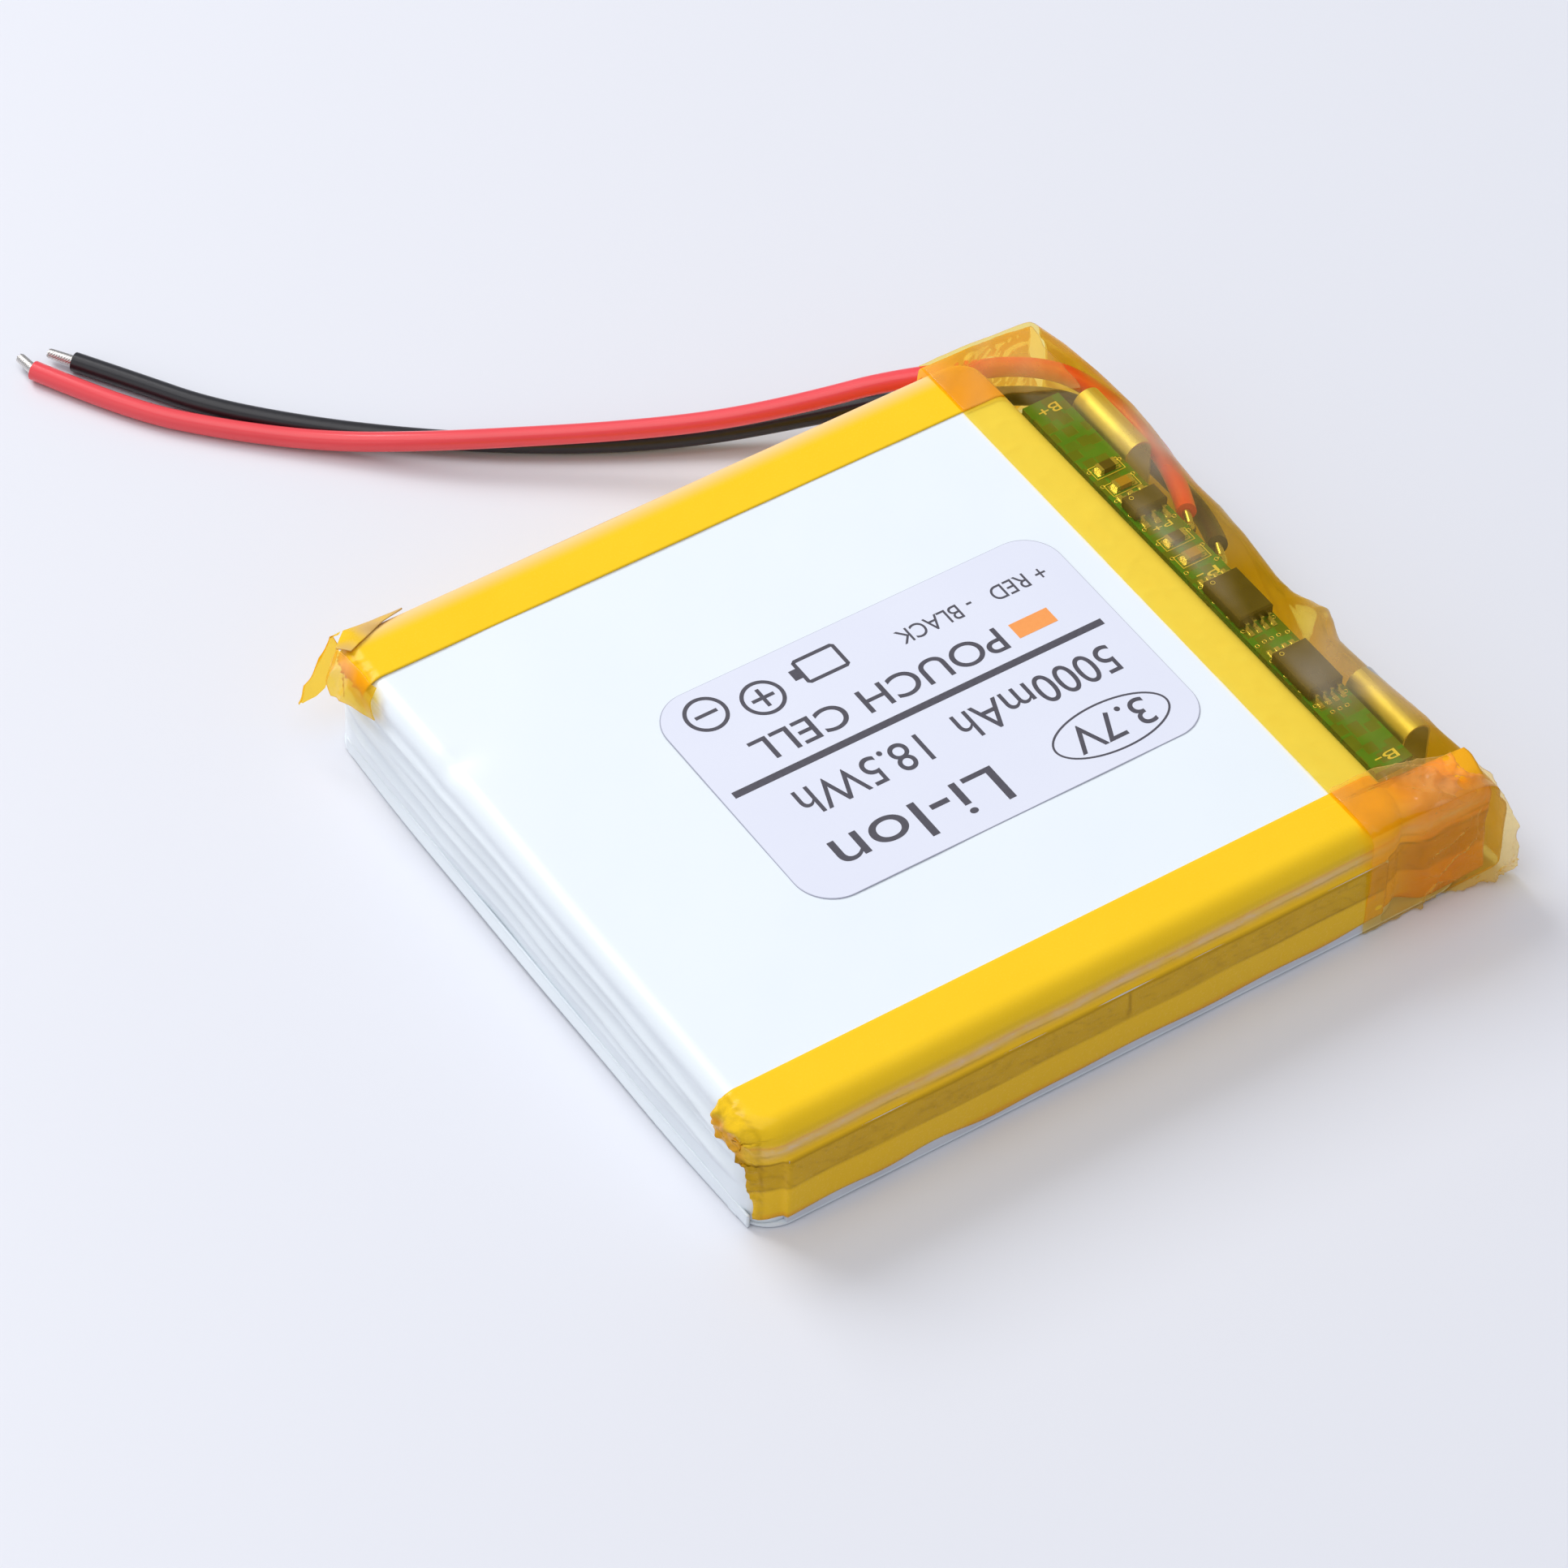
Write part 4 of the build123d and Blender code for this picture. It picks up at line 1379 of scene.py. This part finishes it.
# ---- Crumpled tape ends -------------------------------------------------------------------
@dataclass(frozen=True)
class TapeFlap:
    """Loose flap of tape between two edges, each a short run of points."""

    name: str
    first: Route
    second: Route
    bulge: Place
    finish: Finish
    # How much painted shade darkens the flap, 0..1.
    shade: float = 0.0
    full_bulge: float = 0.3
    thickness: float = 0.08
    count: int = 40

    def build(self) -> None:
        """Makes the flap as a crumpled ruled sheet."""
        first, second = (points_at(np.linspace(0, len(route) - 1, self.count),
                                   np.arange(len(route)), np.array(route, float))
                         for route in (self.first, self.second))
        share = np.linspace(0, 1, self.count)[:, None, None]
        grid = first[None] * (1 - share) + second[None] * share
        grid = grid + np.sin(share * math.pi) * np.array(self.bulge)
        size = np.linalg.norm(self.bulge)
        creases = Relief(4.2, 51).creases(grid, 1.0) * 0.34 + Relief(2.6, 52).at(grid) * 0.03
        grid = grid + (min(1.0, size / self.full_bulge) * creases[..., None]
                       * np.array(self.bulge) / size)
        soft = Relief(3.0, 54).at(grid)
        # With shade above 0 the shadow and pale paints turn the flap grey-olive: painted shade of
        # the hollow under it.
        paint = {"haze_and_highlight": np.clip(soft * 0.3 - 0.1 + self.shade, 0, 0.6),
                 "shadow": np.clip((0.9 + 0.3 * soft) * self.shade, 0, 1)}
        keep(shell(self.name, grid, self.thickness, self.finish, paint), Slot.TAPE)


FLAPS = (
    TapeFlap("dog_ear_back", [(-27.4, -30.0, 9.5), (-27.5, -31.0, 8.6), (-27.6, -31.7, 7.6),
                              (-27.6, -33.2, 3.4)],
             [(-26.9, -30.4, 8.6), (-27.0, -30.8, 6.8), (-27.1, -31.5, 4.9),
              (-27.5, -32.9, 3.5)], (-0.25, -0.1, 0.1), LOOSE),
    TapeFlap("end_flap_back", [(-25.8, -31.2, 9.8), (-24.0, -31.1, 10.15), (-22.4, -31.0, 10.2),
                               (-20.8, -30.9, 10.2)],
             [(-26.0, -31.6, 5.3), (-24.6, -31.8, 6.3), (-22.6, -31.8, 7.0),
              (-20.2, -31.6, 7.8)], (0.0, -0.45, 0.15), LOOSE),
    # This flap's grey-olive colour is painted shade.
    TapeFlap("pocket_back", [(-26.9, -25.2, 9.62), (-26.3, -27.2, 9.95), (-25.5, -29.0, 10.14),
                             (-24.9, -30.6, 10.1)],
             [(-27.1, -25.2, 9.45), (-27.42, -27.6, 9.15), (-27.5, -29.7, 9.35),
              (-26.0, -31.2, 9.7)], (0.0, 0.0, 0.04), TAPE, shade=0.48),
)


# ---- Film and wraps over the board --------------------------------------------------------
@dataclass(frozen=True)
class BoardFilm:
    """Clear golden film drawn over the board end, with a pinched pleat."""

    start: float = 19.05
    thickness: float = 0.05
    across: int = 230
    along: int = 130
    pleat_x: float = 5.9
    pleat: float = 1.25

    REACH_X: ClassVar[tuple[float, ...]] = (-27.4, -24.6, -20.0, -16.8, -8.0, -2.0, 2.6, 9.3,
                                            13.5, 16.8, 20.5, 23.0, 27.4)
    UPPER_Y: ClassVar[tuple[float, ...]] = (29.9, 30.5, 30.9, 31.0, 30.2, 30.1, 29.6, 29.5,
                                            29.8, 30.1, 30.2, 30.4, 30.3)
    LOWER_Y: ClassVar[tuple[float, ...]] = (30.6, 31.2, 31.65, 31.65, 31.0, 30.5, 29.95, 29.8,
                                            30.0, 30.2, 30.4, 30.6, 31.2)

    def section(self, x: float) -> np.ndarray:
        """Side view of the film at one place across the cell.

        Args:
            x: Place across the cell.

        Returns:
            Points (Y, Z) from the flat face round to the underside.
        """
        upper = float(np.interp(x, self.REACH_X, self.UPPER_Y))
        lower = float(np.interp(x, self.REACH_X, self.LOWER_Y))
        low_pinch = self.pleat * max(0.0, 1 - abs(x - self.pleat_x) / 2.6)
        high_pinch = self.pleat * max(0.0, 1 - abs(x - self.pleat_x - 1.4) / 2.8)
        sag = 0.3 * (math.exp(-((x + 3.6) / 2.2) ** 2) + math.exp(-((x - 15.0) / 1.2) ** 2))
        corners = [(self.start, 9.98), (21.8, 9.99), (23.4, 9.97), (25.6, 9.74 - sag),
                   (upper - 2.3, 9.6 - sag), (upper - 0.9 + high_pinch * 0.7, 9.35),
                   (upper + high_pinch, 8.4), (upper + low_pinch, 7.4),
                   (lower + low_pinch * 0.7, 6.6), (lower + 0.02, 4.0), (lower, 1.2),
                   (lower + 0.1, 0.1), (lower - 1.2, 0.055), (self.start, 0.055)]
        return rounded(corners, self.along, 3)

    def build(self) -> None:
        """Makes the film with its long and radial wrinkles."""
        places = np.linspace(-27.36, 27.36, self.across)
        grid = np.array([np.column_stack([np.full(self.along, x), self.section(x)])
                         for x in places])
        y, z = grid[..., 1], grid[..., 2]
        loose = ease(y, 23.0, 24.5) * ease(z, 0.1, 1.5)
        ripple = (Relief(9.0, 61).creases(grid * [0.6, 1.0, 1.0], 1.5) * 0.12
                  + Relief(3.0, 62).creases(grid * [0.5, 1.0, 1.0], 3.0) * 0.03
                  + Relief(14.0, 63).at(grid) * 0.05)
        fan = np.arctan2(grid[..., 0] - self.pleat_x - 1.0, 33.0 - y)
        rays = np.clip(np.sin(fan * 18.0), 0, 1) ** 2 * bell(grid[..., 0], 6.9, 4.0)
        grid[..., 2] += loose * ease(z, 8.0, 9.0) * (ripple * 0.8 + rays * 0.08)
        grid[..., 1] += loose * ease(z, 9.3, 8.3) * (ripple * 0.9)
        held = ease(y, 24.0, 23.0) * ease(z, 9.0, 9.5)
        grid[..., 2] += held * (Relief(3.0, 64).creases(grid, 4.0) * 0.05 + 0.02)
        veil = loose * (0.4 + 0.35 * Relief(6.0, 65).at(grid * [0.5, 1, 1])) * ease(z, 4.0, 9.0)
        tucked = loose * ease(y, 28.4, 30.3) * (0.75 + 0.25 * Relief(5.0, 66).at(grid))
        piece = shell("board_film_skin", grid, self.thickness, FILM,
                      {"haze_and_highlight": np.clip(veil, 0, 1), "tucked": np.clip(tucked, 0, 1)},
                      inside=(0.0, 22.0, 4.0))
        keep(piece, Slot.FILM, "board_film")


@dataclass(frozen=True)
class CornerWrap:
    """End of the golden tape folded over the film at one corner of the board end."""

    side: Side
    inner: Place
    ends: Place
    flare: float
    crumple: float
    low_y: float = 19.15
    opening: float = 0.86
    thickness: float = 0.06
    rows: int = 90
    columns: int = 90

    def grid(self) -> np.ndarray:
        """Sheet from the top, over the edge and down the wall.

        Returns:
            Points with X outward from the middle.
        """
        share = np.linspace(0, 1, self.columns)
        rows = []
        for place in np.linspace(0, 1, self.rows):
            end = float(np.interp(place, [0, 0.3, 0.42, 1], [self.ends[0], self.ends[1],
                                                             self.ends[1] + 0.3, self.ends[2]]))
            ragged = 0.07 * math.sin(place * 37.0) + 0.14 * math.sin(place * 15.0)
            y = self.low_y + (end + ragged - self.low_y) * share
            inner = np.interp(y, [self.low_y, 22.8, 28.5], self.inner)
            fall = np.interp(y, [19, 23.3, 27.0, 28.6, 30.5], [0, 0.03, 0.36, 0.62, 1.3])
            rows.append([self.section(place, a, b, c) for a, b, c in zip(y, inner, fall)])
        return np.array(rows)

    def section(self, place: float, y: float, inner: float, fall: float) -> tuple:
        """One point of the sheet.

        Args:
            place: Share of the way from the inner edge to the foot.
            y: Place along the cell.
            inner: X of the inner edge.
            fall: How far the top has dropped.

        Returns:
            X, Y and Z.
        """
        out, top, bend = 27.52, 10.09 - fall, 1.1
        flat = out - bend - inner
        arc = bend * math.pi / 2
        wall = top - bend - 0.25
        run = place * (flat + arc + wall)
        if run < flat:
            return inner + run, y, top
        if run < flat + arc:
            angle = (run - flat) / bend
            return out - bend + bend * math.sin(angle), y, top - bend + bend * math.cos(angle)
        down = run - flat - arc
        flare = self.flare * float(ease(np.array(y), 26.5, 31.5)) * math.sin(down / wall * 2.6)
        return out + flare, y, top - bend - down

    def build(self) -> None:
        """Makes the wrap, with room for the leads on the back."""
        grid = self.grid()
        x, y, z = grid[..., 0].copy(), grid[..., 1], grid[..., 2]
        loose = ease(y, 22.6, 24.5)
        key = 70 + self.side.value
        fold = self.crumple * (Relief(3.6, key).creases(grid, 1.5) * 0.34
                               + Relief(1.5, key + 1).creases(grid, 2.5) * 0.15
                               + Relief(7.0, key + 2).at(grid) * 0.08)
        top = ease(z, 8.4, 9.2)
        grid[..., 2] += top * (0.05 + fold * (0.35 + 0.65 * loose))
        grid[..., 0] += (1 - top) * (0.05 + fold * (0.4 + 0.9 * loose))
        grid[..., 0] *= self.side.value
        name = self.side.name.lower()
        veil = top * (0.25 + 0.25 * Relief(5.0, key + 3).at(grid)) + ease(y, 29.3, 30.6) * 0.9
        piece = shell(f"corner_wrap_{name}", grid, self.thickness, WRAP,
                      {"haze_and_highlight": np.clip(veil, 0, 1)}, inside=(20.0 * self.side.value, 24.0, 4.0))
        if self.side is Side.BACK:
            piece = self.pierce(piece)
        keep(piece, Slot.TAPE, f"corner_tape_{name}")

    def pierce(self, piece: Piece) -> Piece:
        """Cuts the openings that the leads leave by.

        Args:
            piece: Wrap of the back corner.

        Returns:
            The wrap with its openings.
        """
        cutters = []
        angles = np.linspace(0, 2 * math.pi, 24, endpoint=False)
        for lead in (RED, BLACK):
            start, end = Vector(lead.free[0]), Vector(lead.free[1])
            along = (end - start).normalized()
            side = along.orthogonal().normalized()
            other = along.cross(side)
            rings = [np.array([(start + along * reach + self.opening
                                * (side * math.cos(a) + other * math.sin(a)))[:]
                               for a in angles]) for reach in (-1.6, 4.5)]
            cutters.append(prism("opening", *rings, WRAP))
            cut = piece.modifiers.new("opening", "BOOLEAN")
            cut.operation = "DIFFERENCE"
            cut.solver = "EXACT"
            cut.object = cutters[-1]
        name = piece.name
        result = plain_mesh(piece, name)
        result.name = name
        for cutter in cutters:
            bpy.data.objects.remove(cutter)
        return result


WRAPS = (
    CornerWrap(Side.BACK, (21.7, 21.5, 19.2), (27.9, 28.4, 30.5), 0.2, 0.22),
    CornerWrap(Side.FRONT, (22.25, 22.2, 23.6), (29.9, 30.4, 31.6), 1.5, 1.0),
)


# ---- Label --------------------------------------------------------------------------------
@dataclass(frozen=True)
class PrintRow:
    """One row of plain print: text between two places along Y, at X, of a given height."""

    text: str
    x: float
    y_start: float
    y_end: float
    height: float
    finish: Finish = INK
    weight: float = 0.0


@dataclass(frozen=True)
class Label:
    """Printed paper label with generic ratings and marks."""

    print_lift: float = 0.012
    sunk: float = 0.004
    rim_grow: float = 0.05
    rim_drop: float = 0.03
    corner: float = 3.0
    thin: float = 0.3
    rows: tuple[PrintRow, ...] = (
        PrintRow("3.7V", 9.2, 13.4, 6.9, 2.6),
        PrintRow("Li-Ion", 9.4, 0.85, -12.65, 3.4),
        PrintRow("5000mAh  18.5Wh", 3.9, 14.25, -12.15, 2.7),
        PrintRow("POUCH CELL", -1.75, 8.6, -12.15, 2.3, INK, 0.05),
        PrintRow("+ RED   - BLACK", -5.5, 14.85, 2.35, 1.4),
    )

    def outline(self) -> np.ndarray:
        """Rounded outline of the label.

        Returns:
            Points X, Y.
        """
        low, high = node_box("label")
        corner, points = self.corner, []
        for sx, sy, start in ((1, 1, 0), (-1, 1, 90), (-1, -1, 180), (1, -1, 270)):
            centre = np.array([(high[0] if sx > 0 else low[0]) - sx * corner,
                               (high[1] if sy > 0 else low[1]) - sy * corner])
            for angle in np.radians(np.linspace(start, start + 90, 14)):
                points.append(centre + corner * np.array([math.cos(angle), math.sin(angle)]))
        return np.array(points)

    def sheet(self, name: str, finish: Finish, grow: float, bottom: float,
              top: float) -> Piece:
        """Thin rounded sheet.

        Args:
            name: Name of the piece.
            finish: Its finish.
            grow: How far it reaches past the outline.
            bottom: Level of its underside.
            top: Level of its face.

        Returns:
            The object.
        """
        plan = self.outline()
        middle = plan.mean(axis=0)
        plan = plan + grow * np.sign(plan - middle)
        rings = [np.column_stack([plan, np.full(len(plan), level)]) for level in (bottom, top)]
        made = prism(name, *rings, finish)
        made.data.shade_flat()
        return made

    def lettering(self, row: PrintRow, level: float) -> Piece:
        """Raised flat print of one row.

        Args:
            row: The row.
            level: Level of the label's face.

        Returns:
            The mesh object.
        """
        data = bpy.data.curves.new("row", "FONT")
        data.body = row.text
        data.offset = row.weight * 0.1
        data.extrude = self.print_lift / 2
        made = plain_mesh(link("row", data), "row")
        mesh = made.data
        corners = np.array([v.co for v in mesh.vertices])
        low, high = corners.min(axis=0), corners.max(axis=0)
        share = (corners - low) / np.maximum(high - low, 1e-9)
        placed = np.column_stack([row.x + (share[:, 1] - 0.5) * row.height,
                                  row.y_start + share[:, 0] * (row.y_end - row.y_start),
                                  level - self.sunk
                                  + share[:, 2] * (self.print_lift + self.sunk)])
        mesh.vertices.foreach_set("co", (placed * MM).ravel())
        mesh.materials.clear()
        mesh.materials.append(row.finish.material())
        mesh.update()
        return made

    def stroke(self, points: np.ndarray, width: float, level: float, finish: Finish,
               closed: bool = False) -> Piece:
        """Flat printed line of even width.

        Args:
            points: Places X, Y along the line.
            width: Its width.
            level: Level of the label's face.
            finish: Ink.
            closed: The line ends where it starts.

        Returns:
            The mesh object.
        """
        if closed:
            ahead, behind = np.roll(points, -1, 0), np.roll(points, 1, 0)
        else:
            ahead = np.vstack([points[1:], points[-1:]])
            behind = np.vstack([points[:1], points[:-1]])
        along = ahead - behind
        along /= np.linalg.norm(along, axis=1, keepdims=True)
        side = np.column_stack([-along[:, 1], along[:, 0]]) * width / 2
        count = len(points)
        lift = self.print_lift
        ring = [np.column_stack([points + side * offset, np.full(count, level + height)])
                for offset, height in ((1, -self.sunk), (-1, -self.sunk), (-1, lift), (1, lift))]
        steps = count if closed else count - 1
        faces = [(a * count + i, a * count + (i + 1) % count,
                  (a + 1) % 4 * count + (i + 1) % count, (a + 1) % 4 * count + i)
                 for i in range(steps) for a in range(4)]
        if not closed:
            faces += [(0, 3 * count, 2 * count, count),
                      (count - 1, 2 * count - 1, 3 * count - 1, 4 * count - 1)]
        made = as_object("stroke", np.concatenate(ring), faces, finish)
        made.data.shade_flat()
        return made

    def marks(self, level: float) -> list[Piece]:
        """Rule, ellipse round the voltage, battery outline and both poles' marks.

        Args:
            level: Level of the label's face.

        Returns:
            The mesh objects.
        """
        angle = np.linspace(0, 2 * math.pi, 72, endpoint=False)
        circle = np.column_stack([np.sin(angle), np.cos(angle)])
        cell = np.array([(-7.6, -1.9), (-5.4, -1.9), (-5.4, -5.2), (-7.6, -5.2)])
        parts = [self.stroke(circle * [2.2, 4.7] + [9.2, 10.15], 0.16, level, INK, True),
                 self.stroke(np.array([(0.7, 15.45), (0.7, -15.55)]), 0.6, level, INK),
                 self.stroke(np.array([(-1.75, 12.85), (-1.75, 9.6)]), 1.5, level, ORANGE_INK),
                 self.stroke(self.fine(cell), self.thin, level, INK, True),
                 self.stroke(np.array([(-6.5, -5.35), (-6.5, -5.95)]), 1.0, level, INK)]
        bar = np.array([(0, 0.9), (0, -0.9)])
        for centre, plus in (((-5.9, -8.75), True), ((-6.7, -12.95), False)):
            parts.append(self.stroke(circle * 1.5 + centre, self.thin, level, INK, True))
            parts.append(self.stroke(bar + centre, self.thin, level, INK))
            if plus:
                post = bar[::-1, ::-1] + centre
                parts.append(self.stroke(post, self.thin, level + 0.001, INK))
        return parts

    @staticmethod
    def fine(corners: np.ndarray) -> np.ndarray:
        """Points along a closed outline, close enough together to keep its corners.

        Args:
            corners: Corners of the outline.

        Returns:
            The points.
        """
        after = np.roll(corners, -1, 0)
        share = np.array([0.04, 0.5, 0.96])[None, :, None]
        return (corners[:, None] * (1 - share) + after[:, None] * share).reshape(-1, 2)

    def build(self) -> None:
        """Makes the paper, its dark rim and the print."""
        low, high = node_box("label")
        rim = self.sheet("label_rim", EDGE_INK, self.rim_grow, low[2], high[2] - self.rim_drop)
        paper = self.sheet("label_paper", PAPER, 0.0, low[2], high[2])
        keep(paper, Slot.LABEL, "label")
        keep(rim, Slot.LABEL)
        letters = [self.lettering(row, high[2]) for row in self.rows]
        keep(join("label_print", letters + self.marks(high[2])), Slot.LABEL)


# ---- Board --------------------------------------------------------------------------------
@dataclass(frozen=True)
class Board:
    """Print, plated holes and tinned pads on the protection board."""

    line: float = 0.05
    row_gap: float = 0.62
    chip_half: float = 0.4

    def frames(self) -> None:
        """Printed outlines round the small parts."""
        board_low, board_high = node_box("protection_board")
        middle, level = (board_low[1] + board_high[1]) / 2, board_high[2] + 0.01
        values = {"Width": 1.25 * MM, "Height": 2.45 * MM, "Line": self.line * MM}
        for name in ("resistor", "capacitor"):
            low, high = node_box(f"chip_{name}s")
            places = np.array([(low[0] + self.chip_half, middle, level),
                               (high[0] - self.chip_half, middle, level)])
            keep(FrameTree().apply(f"{name}_frames", values, PAINT, places), Slot.MASK)

    def holes(self) -> None:
        """Plated holes beside the switches and along the rims."""
        low, high = node_box("protection_board")
        rows = [(x, y, high[2] + 0.005)
                for x in np.arange(low[0] + 8.0, high[0] - 6.0, 1.7)
                for y in (low[1] + 0.28, high[1] - 0.28)]
        gaps = [(x, (low[1] + high[1]) / 2 + dy, high[2] + 0.005)
                for x in (7.3, 15.3) for dy in (-self.row_gap, 0.0, self.row_gap)]
        values = {"Ring": 0.15 * MM, "Line": self.line * MM}
        piece = ViaTree().apply("plated_holes", values, SOLDER, np.array(rows + gaps))
        keep(piece, Slot.SOLDER)

    def lettering(self) -> None:
        """Generic marks for the pads."""
        low, high = node_box("protection_board")
        maker = Label(print_lift=0.02)
        middle = (low[1] + high[1]) / 2
        parts = [maker.lettering(PrintRow(text, x, middle + half, middle - half, height, PAINT),
                                 high[2])
                 for text, x, half, height in (
                     ("B+", low[0] + 1.1, 0.9, 0.9), ("P+", -5.85, 0.8, 0.55),
                     ("P-", -0.3, 0.9, 0.8), ("B-", high[0] - 0.9, 0.9, 0.8))]
        keep(join("board_lettering", parts), Slot.MASK)

    def pin_marks(self) -> None:
        """Round dimple at the first pin of each package."""
        rings = [(low[0] + 0.45, low[1] + 0.5, high[2] - 0.01) for low, high in
                 map(node_box, ("protection_ic", "mosfet_left", "mosfet_right"))]
        values = {"Ring": 0.16 * MM, "Line": 0.03 * MM}
        keep(ViaTree().apply("pin_marks", values, PAINT, np.array(rings)), Slot.MASK)

    def build(self) -> None:
        """Makes everything on the board."""
        self.frames()
        self.holes()
        self.lettering()
        self.pin_marks()


# ---- Assembly -----------------------------------------------------------------------------
def dress_cad() -> None:
    """Gives every carried-over CAD node its finish."""
    for finish, nodes in CAD_FINISHES.items():
        for node in nodes:
            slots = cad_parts[node].data.materials
            slots.clear()
            slots.append(finish.material())
            LOG.info("%s: %s", node, finish.name)


def main() -> None:
    """Builds the scene in order."""
    logging.basicConfig(level=logging.INFO, format="%(name)s: %(message)s")
    for first in (Studio(), RED, BLACK):
        first.build()
    dress_cad()
    form = CellForm()
    tapes = SideTape(form, Side.FRONT, 22.4), SideTape(form, Side.BACK, 21.8)
    for part in (Pouch(form), *tapes, *FLAPS, BoardFilm(), *WRAPS, Label(), Board()):
        part.build()


if __name__ == "__main__":
    main()
